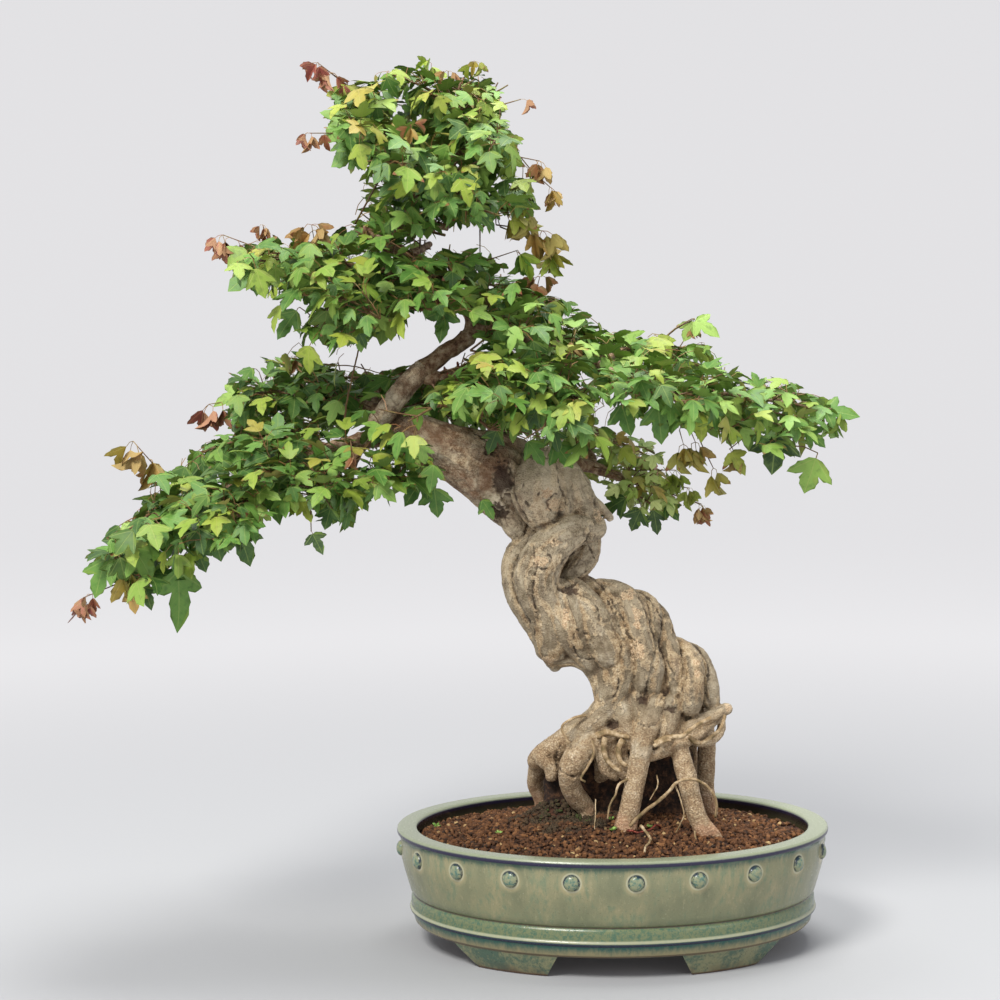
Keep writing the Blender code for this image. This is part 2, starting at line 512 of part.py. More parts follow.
def make_stud(index):
    """One flattened ball, sunk to its middle in the pot's wall."""
    half_round = math.pi * (STUD_WALL_HALF * 2 - OVAL_OFFSET)
    arc = STUD_FIRST_ARC + index * half_round / STUD_COUNT
    place, outward = oval_point(STUD_WALL_HALF, arc)
    bm = bmesh.new()
    bmesh.ops.create_uvsphere(bm, u_segments=STUD_SEGMENTS, v_segments=STUD_SEGMENTS // 2,
                              radius=1.0)
    bmesh.ops.scale(bm, vec=Vector((STUD_RADIUS, STUD_RADIUS, STUD_RISE)) * MM, verts=bm.verts)
    turn = outward.to_track_quat("Z", "Y").to_matrix().to_4x4()
    bmesh.ops.transform(bm, matrix=turn, verts=bm.verts)
    bmesh.ops.translate(bm, vec=(place + Vector((0, 0, STUD_HEIGHT))) * MM, verts=bm.verts)
    return object_from(f"stud_{index}", bm, "cutters")


def make_pot():
    pot = oval_body("pot", POT_PROFILE)
    feet = oval_body("feet", FOOT_OUTER, "cutters")
    hollow = oval_body("feet_hollow", FOOT_INNER, "cutters")
    gaps = [
        foot_gap("front_gap", *FRONT_GAP_HALF, POT_HALF_LENGTH, across_x=False),
        foot_gap("end_gap", *END_GAP_HALF, POT_HALF_LENGTH, across_x=True),
    ]
    boolean(feet, [hollow, *gaps], "DIFFERENCE")
    boolean(pot, [feet, *(make_stud(index) for index in range(STUD_COUNT))])
    drains = [cylinder(f"drain_{side}", side * DRAIN_OFFSET, 0, FOOT_HEIGHT - 5, FLOOR_TOP + 5,
                       DRAIN_RADIUS, 20) for side in (-1, 1)]
    boolean(pot, drains, "DIFFERENCE")
    return pot


def make_drain_mesh(side):
    """A plastic square over one drain hole, with a grid of nine openings."""
    name = "drain_mesh_left" if side < 0 else "drain_mesh_right"
    low = FLOOR_TOP + GAP
    x = side * DRAIN_OFFSET
    half = MESH_WIDTH / 2
    plate = box(name, (x - half, -half, low), (x + half, half, low + MESH_THICKNESS), MAIN)
    openings = []
    for column in (-1, 0, 1):
        for row in (-1, 0, 1):
            corner = Vector((x + column * MESH_PITCH, row * MESH_PITCH, 0))
            reach = Vector((MESH_OPENING / 2, MESH_OPENING / 2, 0))
            openings.append(box(f"opening_{column}_{row}", corner - reach + Vector((0, 0, low - 1)),
                                corner + reach + Vector((0, 0, low + MESH_THICKNESS + 1))))
    boolean(plate, openings, "DIFFERENCE")
    return plate


def soil_height(x, y):
    """Height of the soil's surface: low at the pot's lip, mounded round the roots, slightly uneven."""
    spread = (x / SOIL_MOUND_HALF_LENGTH) ** 2 + (y / SOIL_MOUND_HALF_WIDTH) ** 2
    inside = max(0.0, 1.0 - spread)
    wave = math.sin(2 * math.pi * x / SOIL_WAVE + 1.0) * math.cos(2 * math.pi * y / SOIL_WAVE)
    return SOIL_EDGE + SOIL_MOUND * inside ** 1.5 + SOIL_UNEVEN * wave * inside ** 0.5


def extend_down(route, depth):
    """A leg's route with a last upright stretch down to the given depth."""
    x, y, _, radius = route[-1]
    return [*route, (x, y, depth, radius)]


def make_soil():
    """Soil inside the pot, with plain holes for the roots and the wire and seats for the meshes."""
    inner = POT_PROFILE[-3:][::-1]
    sides = [(half - GAP, height) for half, height in inner]
    sides[0] = (inner[0][0] - GAP, FLOOR_TOP + GAP)
    sides[-1] = (inner[-1][0] - GAP - 0.3, SOIL_EDGE)
    rings = [(sides[-1][0] * share, SOIL_EDGE) for share in SOIL_RINGS]
    soil = oval_body("soil", sides + rings)
    for vertex in soil.data.vertices:
        if vertex.co.z > (SOIL_EDGE - 0.1) * MM:
            vertex.co.z = soil_height(vertex.co.x / MM, vertex.co.y / MM) * MM
    cutters = []
    for side in (-1, 1):
        half = MESH_WIDTH / 2 + GAP
        x = side * DRAIN_OFFSET
        cutters.append(box(f"mesh_seat_{side}", (x - half, -half, FLOOR_TOP - 5),
                           (x + half, half, FLOOR_TOP + MESH_THICKNESS + 2 * GAP)))
    for name, route in ROOT_LEGS.items():
        lower = [point for point in route if point[2] < HOLE_TOP]
        clearance = TOE_CLEARANCE if name == "right_toe" else ROOT_CLEARANCE
        hole = [(*point[:3], point[3] + clearance) for point in extend_down(lower, ROOT_DEPTH - GAP)]
        cutters.append(tubes(f"hole_{name}", [hole], 1, "cutters"))
    channel = [(*point[:3], WIRE_RADIUS + 0.4) for point in wire_route()]
    cutters.append(tubes("hole_wire", [channel], 1, "cutters"))
    boolean(soil, cutters, "DIFFERENCE")
    keep_largest_body(soil)
    return soil


def wire_route():
    """Up from the drain hole, out of the soil, along it, and round in a small curl."""
    lift = WIRE_RADIUS + 0.7
    route = [Vector((*point, WIRE_RADIUS)) for point in WIRE_HIDDEN]
    for x, y in WIRE_OUT:
        route.append(Vector((x, y, soil_height(x, y) + lift, WIRE_RADIUS)))
    centre_x, centre_y = WIRE_CURL_CENTRE
    for step, degrees in enumerate(WIRE_CURL_ANGLES):
        angle = math.radians(degrees)
        x = centre_x + WIRE_CURL_RADIUS * math.cos(angle)
        y = centre_y + WIRE_CURL_RADIUS * math.sin(angle)
        route.append(Vector((x, y, soil_height(x, y) + lift + WIRE_CURL_RISE * step, WIRE_RADIUS)))
    return through(route, 14.0)


def make_wire():
    return tubes("anchor_wire", [wire_route()], 1)


def branch_route(name):
    return through(BRANCHES[name], BRANCH_STEP)


def make_wood():
    """Roots, trunk and limb fused from ropes into one skin, cut level in the soil, then branches."""
    fused = []
    for group in (TRUNK_ROPES, UPPER_ROOTS, LIMB_ROPES):
        fused += [rounded(through(route, 8.0)) for route in group.values()]
    fused += [rounded(through(extend_down(route, ROOT_DEPTH - 6), 8.0)) for route in ROOT_LEGS.values()]
    wood = tubes("wood", fused, 3)
    skin = wood.modifiers.new("skin", "REMESH")
    skin.mode = "VOXEL"
    skin.voxel_size = SKIN_CELL * MM
    even = wood.modifiers.new("even", "SMOOTH")
    even.iterations = 2
    apply_modifiers(wood)
    keep_largest_body(wood)
    fewer = wood.modifiers.new("fewer", "DECIMATE")
    fewer.ratio = SKIN_FACES / (2 * len(wood.data.polygons))
    apply_modifiers(wood)
    reach = POT_HALF_LENGTH
    below = box("below_roots", (-reach, -reach, ROOT_DEPTH - 50), (reach, reach, ROOT_DEPTH))
    boolean(wood, [below], "DIFFERENCE")
    limbs = [tubes(name, [branch_route(name)], int(route[0][3] > STOUT_BRANCH), "cutters")
             for name, route in BRANCHES.items()]
    boolean(wood, limbs, solver="MANIFOLD")
    keep_largest_body(wood)
    return wood


def leaf_shape(length):
    """A three-lobed leaf as a thin sheet: its stalk from the origin along +Y, then the blade."""
    stalk = LEAF_STALK
    outline = {
        "stalk_left": (-0.5 * PETIOLE_WIDTH / length, 0.0, 0.0),
        "stalk_right": (0.5 * PETIOLE_WIDTH / length, 0.0, 0.0),
        "base_left": (-0.05, stalk, 0.06),
        "base_right": (0.05, stalk, 0.06),
        "lobe_left": (-0.52, stalk + 0.52, -0.06),
        "notch_left": (-0.20, stalk + 0.56, 0.03),
        "tip": (0.0, stalk + 1.0, -0.08),
        "notch_right": (0.20, stalk + 0.56, 0.03),
        "lobe_right": (0.52, stalk + 0.52, -0.06),
    }
    bm = bmesh.new()
    points = {name: bm.verts.new(Vector(place) * length * MM) for name, place in outline.items()}
    for corners in (
        ("stalk_left", "stalk_right", "base_right", "base_left"),
        ("base_left", "base_right", "notch_right", "notch_left"),
        ("notch_left", "notch_right", "tip"),
        ("base_left", "notch_left", "lobe_left"), ("base_right", "lobe_right", "notch_right"),
    ):
        bm.faces.new([points[corner] for corner in corners])
    return bm, stalk * length * MM


def droop(bm, start, angle):
    """Bends the blade down from its base, past the end of the stalk."""
    blade = [vertex for vertex in bm.verts if vertex.co.y > start * 0.98]
    pivot = Matrix.Translation((0, start, 0))
    bend = pivot @ Matrix.Rotation(-angle, 4, "X") @ pivot.inverted()
    bmesh.ops.transform(bm, matrix=bend, verts=blade)


def solid_leaf(length, angle, thickness, place):
    """The leaf as a closed thin solid at a place."""
    bm, stalk = leaf_shape(length)
    droop(bm, stalk, angle)
    bmesh.ops.translate(bm, vec=(0, 0, thickness * MM / 2), verts=bm.verts)
    bmesh.ops.solidify(bm, geom=bm.faces[:], thickness=thickness * MM)
    bmesh.ops.recalc_face_normals(bm, faces=bm.faces)
    bmesh.ops.transform(bm, matrix=place, verts=bm.verts)
    return bm


def tree_of(bm):
    return BVHTree.FromBMesh(bm, epsilon=0.0)


def tree_of_object(piece):
    bm = bmesh.new()
    bm.from_mesh(piece.data)
    tree = tree_of(bm)
    bm.free()
    return tree


class Spray:
    """One leafy spray: twigs and leaves that cross nothing, fused into one body at the end."""

    def __init__(self, name, start, direction, obstacles, seed):
        self.name = name
        self.start = start
        self.direction = direction
        self.obstacles = obstacles
        self.leaf_trees = []
        self.rng = random.Random(seed)
        self.twigs = []
        self.leaves = []

    def crosses_others(self, tree):
        return any(tree.overlap(other) for other in self.obstacles)

    def add_twig(self, route):
        """Adds the twig unless it comes too near another piece."""
        wide = tubes("test_twig", [[(*p[:3], p[3] + CLEAR_OF_OTHERS) for p in route]], 0, "cutters")
        clear = not self.crosses_others(tree_of_object(wide))
        bpy.data.objects.remove(wide, do_unlink=True)
        if clear:
            twig = tubes(f"twig_{len(self.twigs)}", [route], 0, "cutters")
            self.twigs.append((route, twig))
        return clear

    def grow_twigs(self, main, arms):
        """The main twig on from the branch's end, then the arms that fork from its points."""
        root = Vector((*(self.start + self.direction * GAP), TWIG_ROOT_RADIUS))
        first = Vector((*(self.start + self.direction * (GAP + FIRST_STRETCH)), TWIG_ROOT_RADIUS))
        points = [Vector((*point, 0)) for point in main]
        for index, point in enumerate(points):
            share = (index + 1) / len(points)
            point[3] = TWIG_ROOT_RADIUS + (TWIG_TIP_RADIUS - TWIG_ROOT_RADIUS) * share
        self.add_twig(through([root, first, *points], TWIG_STEP))
        for fork, middle, tip in arms:
            inner = Vector((*points[fork][:3], TWIG_FORK_RADIUS))
            route = [inner, Vector((*middle, TWIG_FORK_RADIUS)), Vector((*tip, TWIG_TIP_RADIUS))]
            self.add_twig(through(route, TWIG_STEP))

    def leaf_sites(self):
        """Places for opposite pairs near each twig's tip, then along the twigs in a mixed order."""
        tips, inner = [], []
        for route, twig in self.twigs:
            tree = tree_of_object(twig)
            for index in range(len(route) - 1, 0, -1):
                end = Vector(route[index][:3])
                start = Vector(route[index - 1][:3])
                ahead = (end - start).normalized()
                length = (end - start).length
                shares = (0.3, 0.72) if length > 20 else (0.5,)
                if index == len(route) - 1:
                    shares = ((length - TIP_SITE) / length, 0.4)
                for share in shares:
                    for hand in (-1, 1):
                        site = (start.lerp(end, share), ahead, hand, tree)
                        (tips if share > 0.75 else inner).append(site)
        self.rng.shuffle(inner)
        return tips + inner

    def face_side(self, where, ahead, hand, tree):
        """The outward direction through the middle of the twig's face on that side."""
        side = ahead.cross(Vector((0, 0, 1))).normalized() * hand
        _, normal, _, _ = tree.ray_cast(where * MM, side)
        side = (normal - ahead * normal.dot(ahead)) if normal else side
        return side.normalized()

    def try_leaf(self, where, ahead, side):
        """Adds one leaf on that side of the twig if it crosses nothing but the twig it grows from."""
        rng = self.rng
        outward = (ahead * rng.uniform(0.2, 1.1) + side).normalized()
        outward = (outward + Vector((0, 0, rng.uniform(0.0, 0.25)))).normalized()
        roll = math.radians(rng.uniform(-LEAF_ROLL, LEAF_ROLL))
        across = outward.cross(Vector((0, 0, 1))).normalized()
        up = across.cross(outward)
        frame = Matrix((across, outward, up)).transposed().to_4x4()
        place = Matrix.Translation(where * MM) @ frame @ Matrix.Rotation(roll, 4, "Y")
        length = LEAF_LENGTH * rng.uniform(*LEAF_SIZE_RANGE)
        angle = math.radians(rng.uniform(*LEAF_DROOP))
        test = solid_leaf(length * 1.02, angle, LEAF_THICKNESS + 2 * CLEAR_OF_OTHERS, place)
        clear_of_others = not self.crosses_others(tree_of(test))
        near = place.translation
        stalk_part = [face for face in test.faces
                      if min((v.co - near).length for v in face.verts) < 3 * MM]
        bmesh.ops.delete(test, geom=stalk_part, context="FACES")
        own_trees = self.leaf_trees + [tree_of_object(twig) for _, twig in self.twigs]
        tree = tree_of(test)
        test.free()
        if not clear_of_others or any(tree.overlap(other) for other in own_trees):
            return False
        leaf = solid_leaf(length, angle, LEAF_THICKNESS, place)
        self.leaf_trees.append(tree_of(leaf))
        self.leaves.append(object_from(f"leaf_{len(self.leaves)}", leaf, "cutters"))
        return True

    def grow_leaves(self, count):
        """Tries each place in turn, a few random ways, until the spray has its count of leaves."""
        for where, ahead, hand, tree in self.leaf_sites():
            if len(self.leaves) >= count:
                break
            side = self.face_side(where, ahead, hand, tree)
            for _ in range(LEAF_TRIES):
                if self.try_leaf(where, ahead, side):
                    break

    def fuse(self):
        """The twigs and leaves as one body."""
        spray = self.twigs[0][1]
        spray.name = self.name
        bpy.data.collections["cutters"].objects.unlink(spray)
        bpy.data.collections[MAIN].objects.link(spray)
        boolean(spray, [twig for _, twig in self.twigs[1:]] + self.leaves, solver="MANIFOLD")
        keep_largest_body(spray)
        return spray


def branch_end(name):
    """Where a branch ends and the way it points there."""
    route = branch_route(name)
    end = Vector(route[-1][:3])
    return end, (end - Vector(route[-2][:3])).normalized()


def make_sprays(solids):
    obstacles = [tree_of_object(solid) for solid in solids]
    sprays = []
    for name, (main, arms, count, seed) in SPRAYS.items():
        end, direction = branch_end(name)
        spray = Spray(f"spray_{name}", end, direction, obstacles, seed)
        spray.grow_twigs(main, arms)
        spray.grow_leaves(count)
        fused = spray.fuse()
        obstacles = obstacles + [tree_of_object(fused)]
        sprays.append(fused)
    return sprays


def move_origin_to_box_middle(pieces):
    """Moves the model so that its origin is the middle of its box, on the ground."""
    points = [vertex.co for piece in pieces for vertex in piece.data.vertices]
    middle = [(min(p[axis] for p in points) + max(p[axis] for p in points)) / 2 for axis in (0, 1)]
    lowest = min(p.z for p in points)
    for piece in pieces:
        piece.data.transform(Matrix.Translation((-middle[0], -middle[1], -lowest)))


def finish(pieces, material, smooth=False):
    for piece in pieces:
        piece.data.materials.clear()
        piece.data.materials.append(material)
        if smooth:
            piece.data.shade_smooth()
            piece.data.set_sharp_from_angle(angle=math.radians(40))


def main():
    clear_scene()
    pot = make_pot()
    meshes = [make_drain_mesh(-1), make_drain_mesh(1)]
    soil = make_soil()
    wire = make_wire()
    wood = make_wood()
    sprays = make_sprays([pot, soil, wire, wood])
    finish([pot], principled("olive_glaze", (0.20, 0.24, 0.16), 0.25), smooth=True)
    finish(meshes, principled("dark_plastic", (0.03, 0.03, 0.03), 0.6))
    finish([soil], principled("red_brown_grains", (0.11, 0.05, 0.03), 0.95))
    finish([wire], principled("copper_wire", (0.45, 0.16, 0.13), 0.4, 0.8), smooth=True)
    finish([wood], principled("grey_tan_bark", (0.33, 0.26, 0.18), 0.85), smooth=True)
    finish(sprays, principled("green_leaf", (0.12, 0.24, 0.05), 0.5))
    move_origin_to_box_middle([pot, *meshes, soil, wire, wood, *sprays])


main()
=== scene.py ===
"""Looks of a trident maple bonsai with exposed roots in a glazed oval pot.

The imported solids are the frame. Finer pieces take the place of the pot, the soil, the anchor wire, the
wood and the leafy sprays, and keep their form: the same routes and profiles, in millimetres from the
pot's upright axis at the level of its feet, with +X to the right and -Y towards the viewer. The script
adds what the solids leave out: glaze, single soil grains, moss, rootlets, wire round a stub, bark relief,
leaf veins, and most of the leaves.
"""

import json
import math
import random
from itertools import product

import bmesh
import bpy
from mathutils import Matrix, Vector, noise
from mathutils.bvhtree import BVHTree
from mathutils.kdtree import KDTree

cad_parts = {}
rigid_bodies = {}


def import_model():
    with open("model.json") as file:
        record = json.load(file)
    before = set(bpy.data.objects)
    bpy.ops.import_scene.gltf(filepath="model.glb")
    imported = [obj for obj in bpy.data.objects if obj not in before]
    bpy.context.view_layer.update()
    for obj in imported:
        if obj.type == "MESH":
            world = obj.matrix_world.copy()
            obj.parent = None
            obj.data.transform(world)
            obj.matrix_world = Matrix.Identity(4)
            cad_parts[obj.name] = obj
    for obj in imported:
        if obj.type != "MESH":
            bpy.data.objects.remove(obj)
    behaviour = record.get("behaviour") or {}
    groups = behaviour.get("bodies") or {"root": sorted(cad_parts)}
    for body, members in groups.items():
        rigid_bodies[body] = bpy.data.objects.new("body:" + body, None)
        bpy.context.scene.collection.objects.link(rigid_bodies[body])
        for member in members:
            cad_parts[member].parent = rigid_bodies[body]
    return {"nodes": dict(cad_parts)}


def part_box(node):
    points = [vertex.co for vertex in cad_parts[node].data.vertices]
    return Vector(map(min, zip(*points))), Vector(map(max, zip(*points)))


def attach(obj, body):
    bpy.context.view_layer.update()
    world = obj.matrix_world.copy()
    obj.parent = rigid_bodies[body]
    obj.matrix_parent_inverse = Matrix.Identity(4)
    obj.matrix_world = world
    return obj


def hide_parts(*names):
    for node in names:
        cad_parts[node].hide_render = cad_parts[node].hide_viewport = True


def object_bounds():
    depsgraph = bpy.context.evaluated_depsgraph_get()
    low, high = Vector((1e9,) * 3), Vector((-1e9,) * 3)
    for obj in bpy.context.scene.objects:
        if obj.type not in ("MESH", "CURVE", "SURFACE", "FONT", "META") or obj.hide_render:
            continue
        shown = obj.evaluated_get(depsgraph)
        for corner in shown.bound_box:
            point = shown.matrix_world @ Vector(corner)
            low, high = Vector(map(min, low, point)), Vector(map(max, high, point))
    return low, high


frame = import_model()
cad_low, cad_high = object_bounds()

MM = 0.001
UP = Vector((0, 0, 1))
# Without a seed, noise_vector gives something else each run.
noise.seed_set(1)
pot_low, pot_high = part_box("pot")
AXIS = Vector(((pot_low.x + pot_high.x) / 2, (pot_low.y + pot_high.y) / 2, 0.0))

# Camera, from the pot's oval rim and feet in the photograph.
CAMERA_PLACE = (-109.0, -2357.0, 628.0)
CAMERA_LENS = 86.0
CAMERA_DOWN = math.radians(4.5)
CAMERA_ROLL = -0.0093
SENSOR_WIDTH = 36.0
PHOTO_WIDTH = 1000.0
FOCAL_PIXELS = CAMERA_LENS / SENSOR_WIDTH * PHOTO_WIDTH

# Stage: a round floor that curves up into its own backdrop, as (radius, height) in metres.
STAGE_PROFILE = ((0.01, 0.0), (1.2, 0.0), (4.2, 0.0), (4.7, 0.08), (5.1, 0.32), (5.4, 0.75), (5.55, 1.4),
                 (5.6, 3.2))
STAGE_GLOW = 0.80
NEAR_GLOW = 0.02
GLOW_COLOUR = (230, 229, 231)
NEAR_FLOOR = (172, 173, 176)
FAR_FLOOR = (111, 111, 112)
FAR_FROM = (420.0, 2400.0)
SKY_COLOUR = (236, 240, 246)
SKY_STRENGTH = 0.53

# Lamps, in metres from the pot's axis: place, width, power and colour.
LAMP_AIM = (0.0, 0.0, 0.45)
LAMPS = {
    "key": ((-1.2, -2.0, 2.6), 1.1, 104.0, (1.0, 0.98, 0.93)),
    "fill": ((2.2, -2.2, 1.3), 2.0, 12.0, (0.96, 0.98, 1.0)),
    "top": ((0.3, 0.4, 3.0), 1.6, 74.0, (1.0, 0.99, 0.96)),
}

# Pot: an oval whose short half-axis is always less than its long one by OVAL_OFFSET. The profile runs as
# (long half-axis, height) from the underside round the lip to the floor.
POT_SIDES = 224
POT_TOP = 118.0
OVAL_OFFSET = 40.0
FLOOR_TOP = 34.0
POT_PROFILE = (
    (192.0, 22.0), (196.0, 22.6), (198.0, 25.0), (199.4, 30.5), (200.9, 34.2), (202.5, 35.2), (203.0, 36.8),
    (202.5, 38.4), (201.4, 39.4), (201.3, 44.0), (201.2, 47.6), (200.5, 49.4), (199.4, 50.5), (199.2, 52.0),
    (200.1, 53.2), (201.7, 54.8), (203.3, 60.0), (205.6, 68.0), (208.2, 77.0), (210.3, 86.0), (211.2, 92.0),
    (211.6, 98.0), (211.5, 104.0), (211.6, 108.0), (212.4, 110.2), (213.8, 111.6), (214.8, 112.9),
    (215.0, 114.6), (214.6, 116.4), (213.2, 117.7), (210.5, POT_TOP), (200.0, 117.8), (197.4, 117.6),
    (195.6, 116.6), (194.9, 115.0), (195.4, 112.6), (196.6, 109.0), (197.0, 105.0), (190.0, 60.0),
    (182.0, FLOOR_TOP),
)
FOOT_OUTER = ((183.8, 0.0), (186.6, 0.8), (187.6, 3.0), (190.6, 11.0), (194.2, 19.0), (196.2, 26.0))
FOOT_INNER = ((166.0, -1.0), (170.0, 27.0))
FRONT_GAP_HALF = (70.0, 59.0)
END_GAP_HALF = (104.0, 92.0)
STUD_COUNT = 20
STUD_RADIUS = 7.6
STUD_RISE = 4.6
STUD_HEIGHT = 97.0
STUD_WALL_HALF = 211.3
STUD_FIRST_ARC = -226.0
STUD_ROUND = math.pi * (STUD_WALL_HALF * 2 - OVAL_OFFSET)
LIP_MIDDLE = 198.6
DRAIN_RADIUS = 11.0
DRAIN_OFFSET = 75.0

# Glaze: rings round a stud by distance, and lines round the pot by height. Each begins, is full from and to,
# and ends. Below them, where the clay is bare.
STUD_HALO = (7.2, 8.4, 9.0, 15.0)
STUD_RING = (7.6, 8.6, 9.0, 10.4)
WAIST_GROOVE = (50.6, 51.2, 52.2, 52.9)
# The ridge's pale crest line is a painted highlight.
RIDGE_PAINTED_HIGHLIGHT = (36.6, 37.6, 38.6, 40.4)
RIDGE_LINE = (33.0, 34.0, 36.2, 37.4)
FOOT_LINE = (21.0, 22.0, 23.4, 25.0)
SOLE_TOP = 3.4
SOLE_WAVE = 0.5
SOLE_FADE = 1.6
UNDERSIDE_REACH = 0.93
WALL_FROM = 30.0

# Soil: the bed under the grains, then how many grains lie on it and how wide they are.
SOIL_EDGE = 104.5
SOIL_HALF = 195.6
SOIL_MOUND = 19.5
SOIL_MOUND_HALF_LENGTH = 196.0
SOIL_MOUND_HALF_WIDTH = 156.0
SOIL_UNEVEN = 1.2
SOIL_WAVE = 90.0
SOIL_SIDE = ((181.7, 34.3), (189.7, 60.0), (SOIL_HALF, SOIL_EDGE))
SOIL_RINGS = 26
BED_DEPTH = 1.0
HEAP_MIDDLE = (-52.0, 34.0)
HEAP_REACH = 46.0
HEAP_RISE = 16.0
COARSE_GRAINS = (6300, 1.8, 3.0)
FINE_GRAINS = (2600, 0.9, 1.6)
GRAIN_REACH = 0.985
GRAIN_KNOCKS = 0.14
PALE_GRAINS = 0.006
DARK_GRAINS = 0.05
GRAIN_BATCH = 80
MOSS_MIDDLE = (-46.0, 14.0)
MOSS_HALF = (66.0, 78.0)

# Wood: the cell that the fused ropes are rebuilt at, the relief on it, and the knots of the branches.
SKIN_CELL = 1.45
KEPT_FACES = 0.53
ROPE_STEP = 5.0
SAMPLE_STEP = 2.5
ROOT_DEPTH = 104.0
ROUND_END = ((0.55, 0.82), (0.9, 0.42))
CREASE_ROUNDS = 26
FULL_CREASE = 1.6
FULL_RIDGE = 1.2
CREASE_DEPTH = 1.6
FOLD_ROUNDS = 5
FOLD_DEPTH = 0.5
FURROW_DEPTH = 0.64
CRACK_PITCH = 13.0
CRACK_WIDTH = 0.16
PLATE_DEPTH = 0.5
LINE_STEP = 1.5
LINE_DEPTH = 1.5
LINE_WIDTH = 1.15
LIP_REACH = 6.0
LIP_RISE = 0.6
PEEL_DEPTH = 0.5
HOLLOW_DEPTH = 2.2
LUMP_DEPTH = 0.45
SPECK_DEPTH = 0.16
FRONT_FACING = -0.05
MARKS_FROM = 150.0
BRANCH_STEP = 3.5
KNOT_FIRST = (8, 26)
KNOT_PITCH = (16, 34)
KNOT_WIDTH = 2.6
KNOT_REACH = 400

# Foliage: the leaves' sizes, the shoots that bear them, and how far apart and how varied they are.
LEAF_KINDS = 18
LEAF_LENGTH = 25.5
LEAF_THICKNESS = 0.014
FLAT_STALK = 0.14
TWIG_STEP = 8.0
SHOOT_PITCH = 17.0
SHOOT_LENGTH = (14.0, 46.0)
TOP_SHOOT = (16, 34)
TIP_SHOOT = 16.0
TIP_FRESHNESS = 0.12
PAIR_PITCH = 11.0
LEAF_SPACING = 11.0
LEAF_ROLL = 0.38
TONE_SPREAD = 0.18
# Leaf tones reach up to PALEST; the palest, above 1, serve as painted light on back sprays lit from behind.
PALEST = 1.25
CROWD_CELL = 14.0
BOX_MARGIN = 2.0

